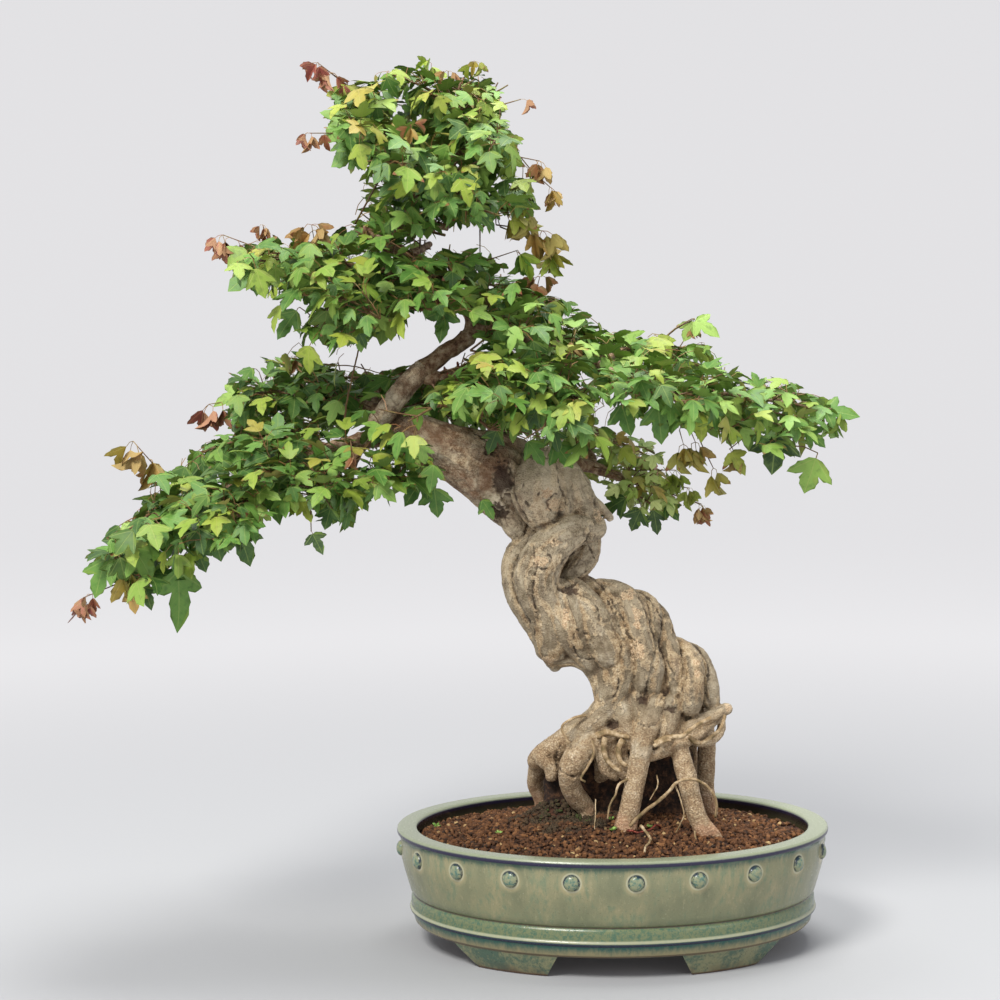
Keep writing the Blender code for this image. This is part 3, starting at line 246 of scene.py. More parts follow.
TRUNK_ROPES = {
    "egg": ((-69, -6, 486, 14), (-71, -16, 471, 22), (-73, -22, 451, 26), (-69, -18, 432, 20),
            (-62, -8, 417, 12)),
    "head_right": ((-49, 0, 480, 12), (-38, -4, 462, 15), (-31, -6, 446, 16), (-25, -8, 431, 15),
                   (-22, -8, 415, 14)),
    "dead_twig": ((-48, -8, 480, 5), (-35, -10, 472, 5), (-26, -8, 460, 5), (-19, -4, 445, 5),
                  (-9, 2, 434, 5), (0, 6, 423, 4.5)),
    "left_egg": ((-109, -2, 440, 7), (-101, 0, 428, 12), (-94, 2, 416, 13), (-88, 4, 404, 9)),
    "curl_knob": ((-101, -14, 452, 5), (-109, -18, 450, 6), (-113, -18, 444, 6), (-108, -14, 438, 6)),
    "head_back": ((-64, 20, 471, 20), (-59, 24, 448, 24), (-49, 22, 425, 22), (-41, 18, 400, 18),
                  (-39, 22, 380, 14)),
    "great_rope": ((-18, -6, 415, 15), (-36, -18, 414, 18), (-53, -26, 405, 20), (-66, -28, 390, 22),
                   (-73, -26, 372, 23), (-71, -22, 353, 23), (-63, -18, 335, 23), (-58, -14, 316, 23),
                   (-58, -10, 299, 20)),
    "left_rope": ((-70, 2, 414, 9), (-83, 4, 400, 12), (-93, 2, 385, 14), (-96, 0, 365, 13),
                  (-91, -2, 345, 13), (-80, -4, 327, 13), (-70, -6, 311, 13), (-62, -6, 293, 12)),
    "chin": ((-51, -4, 305, 14), (-59, -4, 289, 12), (-56, -4, 277, 7)),
    "cheek": ((-50, -20, 350, 17), (-45, -23, 332, 19), (-40, -22, 314, 19), (-30, -16, 298, 17),
              (-18, -12, 284, 15)),
    "head_fill": ((-52, 0, 474, 17), (-47, -6, 455, 19), (-45, -8, 434, 18)),
    "inner_band": ((-20, 12, 419, 12), (-19, 14, 401, 11), (-22, 12, 385, 12), (-31, 8, 374, 12),
                   (-41, 2, 365, 9)),
    "waist_back": ((-49, 24, 380, 18), (-55, 26, 360, 20), (-50, 26, 339, 22), (-35, 26, 319, 22)),
    "middle_fill": ((-39, -12, 352, 16), (-23, -20, 335, 17), (-12, -24, 313, 18), (-4, -24, 293, 18)),
    "grey_rope": ((-12, 2, 355, 9), (3, -4, 352, 11), (16, -12, 344, 13), (23, -20, 332, 14),
                  (26, -24, 315, 13), (30, -26, 297, 13), (33, -24, 280, 13), (30, -20, 263, 12)),
    "middle_rope": ((25, 4, 344, 9), (37, -2, 338, 10), (40, -10, 326, 11), (40, -16, 310, 10),
                    (39, -22, 295, 9), (42, -24, 277, 10), (39, -20, 257, 10)),
    "right_rope": ((41, 8, 333, 9), (49, 2, 324, 10), (52, -6, 310, 11), (57, -12, 293, 11),
                   (62, -16, 276, 10), (62, -16, 254, 9)),
    "bulb_rope": ((65, 6, 296, 9), (75, -4, 288, 11), (80, -12, 275, 12), (78, -18, 256, 13),
                  (77, -18, 240, 13)),
    "outer_rope": ((74, 14, 290, 9), (86, 8, 284, 10), (93, 4, 272, 10), (97, 0, 256, 11),
                   (99, 0, 240, 10)),
    "column": ((4, -2, 342, 20), (6, -8, 321, 24), (7, -10, 298, 26), (6, -12, 276, 24),
               (2, -14, 254, 19), (-2, -14, 236, 16)),
    "arch": ((-51, -6, 287, 12), (-36, -8, 288, 12), (-21, -8, 280, 12), (-11, -8, 263, 11),
             (-7, -8, 245, 11)),
    "core": ((-25, 14, 344, 22), (0, 14, 318, 30), (30, 12, 290, 34), (49, 10, 260, 32),
             (54, 10, 237, 28)),
    "back_rope_left": ((-40, 40, 345, 12), (-18, 44, 322, 15), (-4, 44, 295, 15), (4, 40, 266, 14),
                       (6, 34, 240, 13)),
    "back_rope_middle": ((-8, 38, 340, 11), (14, 46, 318, 14), (28, 50, 290, 14), (36, 46, 260, 14),
                         (38, 38, 232, 14)),
    "back_rope_right": ((22, 30, 328, 11), (44, 40, 306, 13), (60, 42, 280, 13), (68, 38, 252, 13),
                        (72, 32, 228, 13)),
}

ROOT_LEGS = {
    "left_heel": ((-70, 34, 178, 11), (-74, 46, 162, 9.5), (-75, 58, 145, 9), (-68, 66, 126, 9)),
    "left_leg": ((-12, -14, 206, 12), (-24, -16, 199, 13), (-34, -16, 188, 15), (-41, -14, 174, 13),
                 (-42, -8, 159, 11), (-35, 2, 143, 11), (-25, 10, 128, 10)),
    "back_left_leg": ((6, 0, 226, 14), (1, 10, 202, 13), (-7, 22, 176, 11), (-9, 30, 157, 12),
                      (-3, 36, 139, 11), (2, 38, 125, 10)),
    "front_leg": ((42, -18, 239, 16), (35, -28, 224, 14), (29, -34, 207, 12), (26, -38, 190, 11),
                  (22, -40, 171, 10.5), (18, -42, 151, 10.5), (14, -42, 133, 11), (11, -42, 119, 12)),
    "right_leg": ((60, -10, 228, 12), (64, -18, 209, 11), (67, -26, 191, 10), (72, -32, 172, 10.5),
                  (76, -38, 153, 10), (81, -42, 134, 10), (87, -44, 120, 10)),
    "back_right_leg": ((85, 20, 233, 13), (93, 30, 210, 12), (98, 38, 189, 10), (98, 42, 167, 9.5),
                       (98, 46, 146, 9), (101, 48, 128, 8), (103, 50, 116, 8)),
    "rear_leg": ((36, 36, 213, 14), (31, 50, 187, 11), (26, 60, 154, 10), (22, 66, 129, 9)),
    "rear_right_leg": ((75, 34, 213, 12), (81, 54, 186, 9), (84, 68, 155, 9), (84, 74, 131, 8)),
    "right_toe": ((84, -44, 128, 8), (94, -46, 119, 7), (102, -48, 112, 5)),
}

UPPER_ROOTS = {
    "left_root": ((0, -14, 239, 17), (-17, -10, 221, 15), (-34, 0, 208, 15), (-51, 14, 194, 14),
                  (-66, 26, 182, 13), (-74, 33, 175, 11)),
    "left_knob": ((-66, 20, 181, 12), (-59, 16, 172, 10), (-60, 14, 163, 7)),
    "right_knob": ((115, -2, 232, 6.5), (109, -4, 230, 6.8), (97, -10, 226, 7), (87, -16, 222, 7),
                   (77, -20, 216, 8)),
    "crossing_root": ((108, 2, 224, 5), (97, -10, 217, 5.5), (85, -20, 210, 6), (70, -26, 202, 6),
                      (54, -28, 195, 6), (38, -30, 190, 6)),
    "looping_root": ((109, 4, 224, 5), (110, 2, 212, 5), (104, -2, 203, 5), (94, -8, 199, 5),
                     (84, -12, 200, 4.5), (77, -16, 208, 5)),
    "curled_root": ((9, -22, 223, 8), (1, -26, 212, 8), (-9, -24, 207, 8), (-14, -22, 198, 7)),
    "hanging_root_a": ((-7, -24, 202, 8), (-9, -24, 189, 8), (-6, -22, 175, 7), (3, -20, 168, 5)),
    "hanging_root_b": ((13, -26, 206, 6), (9, -26, 194, 6), (14, -26, 182, 6), (21, -30, 175, 5)),
    "hanging_root_c": ((1, -24, 204, 5), (-2, -26, 191, 4.5), (4, -26, 178, 4.5), (11, -28, 169, 4)),
    "root_lump": ((49, -18, 226, 10), (55, -22, 213, 8), (58, -24, 201, 6)),
    "root_core": ((2, 12, 222, 18), (26, 16, 212, 21), (52, 16, 212, 22), (80, 14, 222, 18)),
    "root_core_low": ((30, 24, 212, 20), (29, 34, 188, 15), (26, 44, 168, 12)),
}
# Roots seen only in the hollows between the others.
INNER_ROOTS = {
    "behind_hollow": ((16, 14, 262, 16), (18, 14, 240, 18), (20, 16, 222, 16)),
    "under_hollow": ((2, 8, 252, 14), (10, 10, 236, 14)),
    "flare_left": ((4, -10, 248, 17), (12, -20, 229, 14), (16, -26, 212, 11), (14, -26, 202, 8)),
    "flare_middle": ((24, -12, 250, 14), (28, -22, 232, 13), (28, -28, 214, 9)),
    "flare_right": ((56, -14, 240, 15), (54, -24, 222, 12), (50, -28, 206, 9)),
}

# The dark lump of fine root behind the front legs, near black partly as painted shade: its middle and its
# half-sizes.
MASS_CENTRE = (9.0, 35.0, 146.0)
MASS_HALF = (75.0, 16.0, 58.0)

LIMB_ROPES = {
    "limb": ((-74, 22, 449, 24), (-94, 14, 457, 31), (-119, 4, 472, 36), (-142, 0, 484, 32),
             (-162, -4, 493, 27), (-181, -8, 501, 25), (-201, -12, 510, 23), (-218, -16, 514, 16)),
    "limb_top": ((-89, 14, 489, 14), (-106, 4, 496, 14), (-123, -2, 499, 14)),
    "limb_under": ((-87, 10, 408, 7), (-103, 8, 425, 12), (-121, 6, 443, 14), (-140, 2, 462, 14),
                   (-160, -2, 476, 14)),
    "turned_branch": ((-218, -20, 514, 13), (-230, -30, 518, 10.5), (-221, -34, 530, 11),
                      (-207, -34, 548, 11.5), (-194, -32, 563, 11), (-184, -28, 572, 11)),
}

BRANCHES = {
    "upper_trunk": ((-190, -30, 567, 9), (-184, -28, 572, 9.5), (-170, -24, 582, 9), (-156, -20, 592, 8),
                    (-144, -18, 599, 8), (-136, -16, 609, 7.5), (-135, -14, 622, 7), (-141, -12, 637, 7),
                    (-151, -10, 649, 6.5), (-163, -8, 658, 6), (-180, -6, 672, 6), (-197, -4, 684, 5.5),
                    (-210, -2, 695, 5.5), (-207, 0, 709, 5), (-201, 0, 724, 5), (-191, -2, 736, 4.5),
                    (-181, -4, 752, 4.5), (-171, -6, 765, 4), (-158, -8, 778, 4), (-150, -8, 788, 3.5),
                    (-146, -8, 803, 3)),
    "brown_stub": ((-186, -29, 566, 7), (-162, -26, 564, 7), (-147, -28, 570, 6), (-129, -36, 574, 5),
                   (-110, -50, 574, 3.6)),
    "low_left": ((-205, -14, 510, 12), (-222, -14, 508, 11), (-246, -18, 502, 9), (-275, -22, 495, 7.5),
                 (-309, -28, 483, 6.5), (-343, -34, 469, 5.5), (-372, -38, 458, 5), (-396, -42, 450, 4)),
    "low_left_front": ((-306, -24, 485, 5), (-319, -48, 474, 4), (-328, -66, 465, 3.4)),
    "low_left_back": ((-272, -22, 496, 6), (-291, 6, 497, 4.6), (-304, 30, 501, 3.6)),
    "low_front": ((-246, -18, 502, 6), (-248, -40, 490, 4.6), (-252, -56, 479, 3.6)),
    "back_left": ((-196, -12, 510, 10), (-216, 20, 524, 8), (-237, 46, 533, 6), (-260, 66, 539, 4)),
    "back_middle": ((-232, 40, 532, 5), (-235, 80, 545, 4), (-233, 100, 551, 3.4)),
    "mid_left": ((-161, -8, 657, 5), (-180, -10, 662, 4.6), (-205, -14, 666, 4.2), (-229, -18, 670, 3.6)),
    "mid_front": ((-150, -8, 648, 5), (-158, -36, 643, 4), (-165, -56, 638, 3.4)),
    "mid_back": ((-141, -12, 637, 5), (-155, 16, 640, 4.4), (-171, 44, 645, 3.6)),
    "upper_left": ((-209, -2, 696, 4.4), (-226, -6, 703, 3.8), (-241, -8, 711, 3.2)),
    "apex_left": ((-171, -6, 765, 3.6), (-184, -10, 776, 3.2), (-195, -14, 788, 2.8)),
    "apex_right": ((-158, -8, 778, 3.6), (-143, -20, 783, 3.2), (-129, -32, 786, 2.8)),
    "apex_back": ((-158, -8, 778, 3.6), (-155, 14, 787, 3.2), (-153, 34, 795, 2.8)),
    "apex_front": ((-181, -4, 752, 4), (-176, -28, 748, 3.4), (-170, -46, 745, 2.8)),
    "upper_right": ((-201, 0, 722, 4.4), (-180, -10, 716, 3.8), (-157, -18, 710, 3.2)),
    "upper_back": ((-197, -4, 684, 4.8), (-186, 20, 690, 4), (-177, 44, 696, 3.2)),
    "right_long": ((-137, -15, 611, 6.5), (-107, -18, 615, 5.8), (-69, -24, 597, 5.4), (-11, -30, 577, 5),
                   (48, -34, 558, 4.4), (98, -36, 549, 3.6)),
    "right_front": ((-14, -30, 578, 4.4), (0, -54, 569, 3.8), (9, -74, 564, 3.2)),
    "right_back": ((-69, -24, 597, 4.6), (-52, 2, 600, 4), (-36, 24, 602, 3.4)),
    "right_under": ((48, -34, 558, 3.8), (60, -48, 546, 3.4), (71, -58, 534, 2.8)),
    "right_upper": ((-11, -30, 577, 4.4), (2, -10, 584, 3.8), (15, 6, 590, 3.2)),
    "centre_top": ((-105, -18, 614, 5), (-96, -4, 625, 4), (-86, 8, 634, 3.4)),
    "front_left": ((-147, -28, 570, 4.6), (-145, -46, 559, 4), (-142, -62, 549, 3.4)),
    "right_low_back": ((-49, 28, 470, 10), (-33, 46, 474, 8), (-12, 62, 469, 6), (14, 78, 458, 4.2)),
    "centre_back": ((-14, 60, 469, 5), (-16, 84, 481, 4.2), (-26, 104, 490, 3.4)),
}

SPRAYS = {
    "low_left": (((-424, -50, 438), (-452, -58, 419), (-481, -64, 396), (-507, -66, 372)),
                 ((1, (-440, -80, 440), (-462, -100, 425)), (1, (-440, -20, 445), (-470, 0, 430))), 9, 11),
    "low_left_front": (((-347, -88, 452), (-372, -108, 436), (-400, -122, 423)),
                       ((1, (-340, -120, 440), (-350, -145, 425)),), 6, 12),
    "low_left_back": (((-331, 62, 501), (-365, 90, 494), (-403, 110, 483)),
                      ((1, (-325, 95, 505), (-335, 125, 500)), (1, (-375, 50, 500), (-410, 45, 490))), 8, 13),
    "low_front": (((-257, -80, 469), (-270, -105, 460), (-287, -120, 452)),
                  ((0, (-218, -90, 468), (-189, -98, 470)), (1, (-300, -85, 475), (-325, -95, 480))), 9, 14),
    "back_left": (((-303, 95, 542), (-352, 120, 537), (-406, 140, 527)),
                  ((1, (-330, 60, 550), (-372, 40, 545)), (1, (-320, 140, 548), (-345, 165, 545))), 9, 15),
    "back_middle": (((-222, 125, 559), (-207, 150, 566)),
                    ((0, (-264, 140, 561), (-285, 165, 560)),
                     (0, (-181, 135, 552), (-150, 150, 546))), 6, 16),
    "mid_left": (((-267, -24, 677), (-310, -30, 687), (-353, -38, 697), (-381, -42, 700)),
                 ((1, (-320, -65, 680), (-350, -85, 678)), (1, (-320, 10, 690), (-350, 35, 692))), 9, 17),
    "mid_front": (((-188, -80, 631), (-220, -105, 623), (-257, -120, 620)),
                  ((0, (-154, -100, 630), (-126, -115, 623)),
                   (1, (-250, -85, 640), (-285, -80, 645))), 7, 18),
    "mid_back": (((-208, 75, 651), (-261, 100, 662), (-313, 115, 671)),
                 ((0, (-168, 90, 671), (-158, 120, 687)), (1, (-225, 120, 660), (-235, 150, 655))), 8, 19),
    "upper_left": (((-262, -12, 724), (-281, -16, 743), (-292, -20, 769), (-298, -22, 791)),
                   ((0, (-280, -40, 712), (-308, -60, 700)), (1, (-295, 20, 740), (-310, 50, 745))), 7, 20),
    "apex_left": (((-222, -18, 810), (-251, -22, 834), (-274, -24, 853)),
                  ((0, (-230, -50, 794), (-250, -75, 800)), (1, (-255, 15, 825), (-270, 45, 830))), 6, 21),
    "upper_trunk": (((-145, -6, 825), (-146, -2, 844), (-138, 2, 862)),
                    ((0, (-178, -10, 846), (-202, -14, 856)), (1, (-118, 6, 840), (-98, 10, 846))), 6, 22),
    "apex_right": (((-106, -48, 794), (-85, -58, 808)),
                   ((0, (-85, -60, 772), (-60, -66, 760)), (0, (-110, -85, 790), (-112, -110, 785))), 6, 23),
    "apex_back": (((-154, 62, 811), (-156, 85, 832)),
                  ((0, (-187, 92, 803), (-215, 110, 800)), (0, (-121, 85, 807), (-95, 105, 800))), 6, 24),
    "apex_front": (((-163, -70, 752), (-151, -92, 760)),
                   ((0, (-190, -88, 766), (-215, -105, 770)),
                    (0, (-135, -85, 729), (-112, -100, 720))), 6, 25),
    "upper_right": (((-126, -26, 708), (-92, -34, 701), (-63, -40, 692)),
                    ((0, (-106, -35, 727), (-85, -45, 738)), (1, (-80, 0, 705), (-65, 30, 702))), 6, 26),
    "upper_back": (((-162, 75, 706), (-145, 100, 716)),
                   ((0, (-209, 100, 718), (-240, 115, 722)), (0, (-117, 92, 691), (-90, 110, 688))), 6, 27),
    "right_long": (((135, -38, 543), (173, -40, 537), (204, -42, 529)),
                   ((0, (148, -60, 517), (175, -75, 493)), (1, (180, -5, 545), (200, 25, 540))), 8, 28),
    "right_front": (((24, -98, 555), (49, -120, 546), (74, -130, 540)),
                    ((0, (-4, -112, 544), (-18, -135, 530)), (1, (70, -95, 555), (95, -85, 560))), 7, 29),
    "right_back": (((-7, 52, 594), (35, 80, 583), (82, 100, 575)),
                   ((0, (-40, 80, 596), (-56, 110, 590)), (1, (15, 105, 590), (10, 135, 585))), 8, 30),
    "right_under": (((88, -72, 518), (103, -82, 503)),
                    ((0, (72, -100, 510), (60, -120, 500)), (0, (121, -70, 510), (140, -62, 500))), 6, 31),
    "right_upper": (((42, 26, 594), (83, 40, 598), (114, 55, 588)),
                    ((1, (95, 10, 602), (125, -5, 600)),), 6, 32),
    "centre_top": (((-67, 22, 640), (-55, 34, 651)),
                   ((0, (-33, 20, 630), (-5, 25, 622)), (0, (-102, 45, 650), (-115, 70, 655))), 6, 33),
    "brown_stub": (((-84, -78, 565), (-56, -100, 554), (-24, -118, 543)),
                   ((0, (-99, -108, 558), (-105, -135, 548)),
                    (1, (-62, -130, 535), (-70, -145, 515))), 8, 34),
    "front_left": (((-135, -82, 533), (-118, -98, 517)),
                   ((0, (-165, -98, 540), (-188, -112, 530)),), 5, 35),
    "right_low_back": (((51, 105, 443), (89, 128, 428)),
                       ((0, (47, 95, 475), (75, 90, 490)), (0, (20, 115, 470), (0, 150, 475))), 8, 36),
    "centre_back": (((-46, 130, 499), (-77, 150, 509)),
                    ((0, (-5, 135, 504), (20, 155, 510)),), 5, 37),
}

# Lines pressed into the trunk's bark, through the photograph's pixels: edges of ropes, folds and flakes. The
# bark is darkened along them as painted shade.
BARK_LINES = {
    "limb_and_egg": ((509, 461), (513, 476), (514, 492), (518, 506), (527, 520), (525, 533), (520, 542)),
    "egg_right": ((557, 463), (559, 481), (564, 495), (565, 506), (560, 517), (548, 524), (534, 529)),
    "head_right": ((594, 499), (599, 511), (600, 520)),
    "spiral": ((591, 524), (587, 540), (576, 551), (564, 560), (557, 572), (556, 583), (562, 590), (573, 585),
               (580, 577), (587, 572)),
    "inner_band": ((587, 542), (591, 551), (594, 558)),
    "great_rope": ((533, 545), (534, 556), (537, 565), (534, 579), (532, 594), (535, 608), (539, 622)),
    "left_rope": ((523, 554), (514, 565), (512, 579), (516, 597), (523, 611), (534, 629), (532, 636)),
    "upper_eye": ((580, 595), (591, 599), (598, 610), (600, 620), (609, 620), (616, 611)),
    "cheek": ((560, 597), (566, 611), (573, 626), (585, 633), (594, 638)),
    "lower_eye": ((573, 633), (574, 649), (580, 657), (592, 659), (596, 652)),
    "brow": ((594, 579), (605, 592), (616, 608), (623, 619), (628, 635), (634, 640)),
    "jaw": ((605, 594), (612, 611), (619, 629), (621, 647), (619, 669), (617, 690), (609, 699), (598, 701)),
    "grey_rope": ((630, 583), (637, 592), (646, 611), (651, 629), (656, 642), (653, 661), (646, 686),
                  (644, 697)),
    "middle_rope": ((637, 588), (651, 601), (660, 615), (662, 629), (659, 644), (666, 661), (673, 676),
                    (667, 690), (659, 701)),
    "right_rope": ((673, 629), (680, 642), (682, 658), (684, 677), (678, 697), (676, 704)),
    "bulb_rope": ((687, 638), (700, 651), (707, 665), (707, 679), (705, 694), (710, 704)),
    "flake": ((553, 540), (558, 545), (564, 544)),
    "egg_plate": ((539, 492), (538, 499), (546, 502), (555, 494), (559, 494)),
    "egg_plate_low": ((546, 502), (551, 511), (557, 514), (563, 510)),
    "egg_mark": ((523, 483), (522, 490), (526, 493)), "egg_nick": ((525, 502), (528, 506)),
    "rope_plate": ((534, 554), (535, 565), (544, 569), (549, 565), (551, 558), (548, 554)),
    "limb_fold": ((470, 430), (486, 440), (498, 456), (503, 470)),
    "root_fold": ((560, 745), (556, 757), (560, 770), (572, 776), (582, 774)),
    "root_ring": ((636, 722), (646, 726), (655, 724)),
}
# Patches where the outer bark has peeled and the paler inner bark shows: pixel, half width, half height.
PEELED = (
    ((628, 594), 6.5, 5.5), ((637, 613), 5, 6), ((637, 625), 4, 4), ((637, 649), 7, 9), ((696, 662), 4, 4),
    ((697, 673), 3, 4), ((555, 543), 7, 3), ((541, 562), 8, 6), ((554, 505), 8, 7), ((546, 494), 6, 5),
    ((566, 613), 3, 8), ((564, 622), 3, 6), ((547, 660), 6, 4), ((728, 706), 4, 5), ((598, 515), 4, 5),
)
# Hollows, in the same way, coloured from rust-brown to near black: partly rust, partly painted shade.
HOLLOWS = (
    ((642, 699), 5, 5), ((503, 480), 9, 16), ((612, 724), 5, 4), ((570, 590), 9, 4), ((498, 512), 10, 8),
    ((672, 709), 6, 3), ((490, 448), 5, 7),
)

# Anchor wire: from under the pot's floor up through a drain hole and the soil to a curl at the root.
WIRE_RADIUS = 1.1
WIRE_LIFT = WIRE_RADIUS + 1.2
WIRE_HIDDEN = ((48, 0, 20.5), (68, 0, 20.5), (75, -1, 24), (76, -2, 40), (70, -8, 66), (58, -20, 92))
WIRE_OUT = ((44, -44), (34, -55), (24, -62))
WIRE_CURL_CENTRE = (17.0, -66.0)
WIRE_CURL_RADIUS = 5.0
WIRE_CURL_ANGLES = (35, 83, 131, 179, 227, 275)
WIRE_CURL_RISE = 0.9


def place(x, y, z):
    """A place in the row's frame, from millimetres along the pot's axis."""
    return AXIS + Vector((x, y, z)) * MM


def spot_of(point):
    """A route's point without its radius."""
    return Vector(point[:3])


def clamp(amount, most=1.0):
    return max(0.0, min(most, amount))


def only(kind, items):
    """Those of the items that are of one kind, such as the edges that a bmesh call has made."""
    return [item for item in items if isinstance(item, kind)]


def tree_of(points):
    """A tree that finds the nearest of the points."""
    tree = KDTree(len(points))
    for index, point in enumerate(points):
        tree.insert(point, index)
    tree.balance()
    return tree


def srgb(red, green, blue):
    """A colour as it looks on screen, 0 to 255, as the linear colour that the shader takes."""
    shares = (channel / 255 for channel in (red, green, blue))
    return (*(s / 12.92 if s <= 0.04045 else ((s + 0.055) / 1.055) ** 2.4 for s in shares), 1.0)


def painted(colour):
    """What a socket takes for a colour: a tuple is one as it looks on screen, and a socket stays itself."""
    return srgb(*colour) if isinstance(colour, tuple) else colour


class Amount:
    """A number that varies over a surface. Each operator adds the Math node that works it out."""

    def __init__(self, finish, socket):
        self.finish = finish
        self.socket = socket

    def math(self, operation, first, second=0.0):
        node = self.finish.node("ShaderNodeMath", {"operation": operation}, {0: first, 1: second})
        return Amount(self.finish, node.outputs[0])

    def __add__(self, other):
        return self.math("ADD", self, other)

    def __sub__(self, other):
        return self.math("SUBTRACT", self, other)

    def __mul__(self, other):
        return self.math("MULTIPLY", self, other)

    def __pow__(self, other):
        return self.math("POWER", self, other)

    def __rsub__(self, other):
        return self.math("SUBTRACT", other, self)

    __radd__ = __add__
    __rmul__ = __mul__

    def most(self, other):
        return self.math("MAXIMUM", self, other)

    def fraction(self):
        return self.math("FRACT", self)

    def size(self):
        return self.math("ABSOLUTE", self)

    def ramp(self, low, high):
        """0 below low, 1 above high, and smooth between them. Either may be the larger."""
        node = self.finish.node("ShaderNodeMapRange", {"interpolation_type": "SMOOTHSTEP"},
                                {"Value": self, "From Min": min(low, high), "From Max": max(low, high),
                                 "To Min": float(low > high), "To Max": float(low < high)})
        return Amount(self.finish, node.outputs["Result"])

    def band(self, low, full_low, full_high, high):
        """1 from full_low to full_high, and 0 below low and above high."""
        return self.ramp(low, full_low) * self.ramp(high, full_high)


class Finish:
    """One material: its Principled surface and the nodes that work out its colour and relief."""

    def __init__(self, name, roughness=0.6, **constants):
        self.material = bpy.data.materials.new(name)
        self.material.use_nodes = True
        self.tree = self.material.node_tree
        self.surface = self.tree.nodes["Principled BSDF"]
        self.surface.inputs["Roughness"].default_value = roughness
        for socket, value in constants.items():
            self.surface.inputs[self.socket_name(socket)].default_value = value

    def socket_name(self, words):
        """The socket whose name is these words, whatever their capitals."""
        plain = words.replace("_", " ").lower()
        return next(name for name in self.surface.inputs.keys() if name.lower() == plain)

    def node(self, kind, settings, sockets):
        """A node of this kind, with its settings made first and then its sockets' values or links."""
        made = self.tree.nodes.new(kind)
        for name, value in settings.items():
            if name == "stops":
                self.set_stops(made.color_ramp, value)
            else:
                setattr(made, name, value)
        for socket, value in sockets.items():
            if isinstance(value, Amount):
                self.tree.links.new(value.socket, made.inputs[socket])
            elif isinstance(value, bpy.types.NodeSocket):
                self.tree.links.new(value, made.inputs[socket])
            else:
                made.inputs[socket].default_value = value
        return made

    def vector(self, operation, sockets):
        return self.node("ShaderNodeVectorMath", {"operation": operation}, sockets).outputs[0]

    def set_stops(self, ramp, stops):
        while len(ramp.elements) < len(stops):
            ramp.elements.new(1.0)
        for element, (position, colour) in zip(ramp.elements, stops):
            element.position = position
            element.color = colour

    def here(self):
        """Millimetres from the pot's axis, as a vector socket."""
        spot = self.node("ShaderNodeTexCoord", {}, {}).outputs["Object"]
        return self.vector("SCALE", {0: self.vector("SUBTRACT", {0: spot, 1: AXIS}), "Scale": 1 / MM})

    def chart(self, name):
        return self.node("ShaderNodeUVMap", {"uv_map": name}, {}).outputs[0]

    def stretched(self, vector, factors):
        return self.vector("MULTIPLY", {0: vector, 1: factors})

    def shifted(self, vector, colour, reach):
        """The vector pushed about by a noise colour, for wavy edges."""
        return self.vector("MULTIPLY_ADD", {0: colour, 1: (reach,) * 3, 2: vector})

    def parts(self, vector):
        split = self.node("ShaderNodeSeparateXYZ", {}, {0: vector})
        return [Amount(self, socket) for socket in split.outputs]

    def noise(self, vector, width, detail=3.0, roughness=0.55):
        """Soft noise whose blotches are about this many millimetres wide."""
        made = self.node("ShaderNodeTexNoise", {},
                         {"Vector": vector, "Scale": 1 / width, "Detail": detail, "Roughness": roughness})
        return Amount(self, made.outputs["Fac"])

    def wobble(self, vector, width):
        """A noise colour, centred on nothing, for pushing a vector about."""
        made = self.node("ShaderNodeTexNoise", {}, {"Vector": vector, "Scale": 1 / width, "Detail": 2.0})
        return self.vector("SUBTRACT", {0: made.outputs["Color"], 1: (0.5, 0.5, 0.5)})

    def cells(self, vector, width):
        """0 in the middle of each cell of about this width, and more towards its edges."""
        made = self.node("ShaderNodeTexVoronoi", {}, {"Vector": vector, "Scale": 1 / width})
        return Amount(self, made.outputs["Distance"])

    def value(self, name):
        """A number that the mesh carries on its points."""
        return Amount(self, self.node("ShaderNodeAttribute", {"attribute_name": name}, {}).outputs["Fac"])

    def mix(self, factor, first, second):
        """The first colour, with this much of the second over it."""
        made = self.node("ShaderNodeMix", {"data_type": "RGBA"},
                         {0: factor, 6: painted(first), 7: painted(second)})
        return made.outputs[2]

    def coats(self, colour, *coats):
        """The colour under coats of (factor, colour), each laid over those before it."""
        for factor, coat in coats:
            colour = self.mix(factor, colour, coat)
        return colour

    def between(self, amount, *stops):
        """The colour that the amount picks from stops of (position, red, green, blue)."""
        colours = [(position, srgb(*colour)) for position, *colour in stops]
        return self.node("ShaderNodeValToRGB", {"stops": colours}, {"Fac": amount}).outputs["Color"]

    def colour(self, socket):
        self.tree.links.new(socket, self.surface.inputs["Base Color"])

    def rough(self, amount):
        self.tree.links.new(amount.socket, self.surface.inputs["Roughness"])

    def relief(self, height, depth, strength=1.0):
        """Bumps whose height goes from 0 to 1 over this many millimetres."""
        bump = self.node("ShaderNodeBump", {}, {"Height": height, "Distance": depth * MM,
                                                "Strength": strength})
        self.tree.links.new(bump.outputs["Normal"], self.surface.inputs["Normal"])


def add_object(name, mesh):
    piece = bpy.data.objects.new(name, mesh)
    bpy.context.scene.collection.objects.link(piece)
    return piece


def object_from(name, bm, outward=True):
    """The bmesh as a new object, with its faces turned outwards."""
    if outward:
        bmesh.ops.recalc_face_normals(bm, faces=bm.faces)
    mesh = bpy.data.meshes.new(name)
    bm.to_mesh(mesh)
    bm.free()
    return add_object(name, mesh)


def evaluated_mesh(piece):
    graph = bpy.context.evaluated_depsgraph_get()
    return bpy.data.meshes.new_from_object(piece.evaluated_get(graph))


def apply_modifiers(piece):
    mesh = evaluated_mesh(piece)
    old = piece.data
    piece.modifiers.clear()
    piece.data = mesh
    bpy.data.meshes.remove(old)


def remove(piece):
    bpy.data.objects.remove(piece, do_unlink=True)


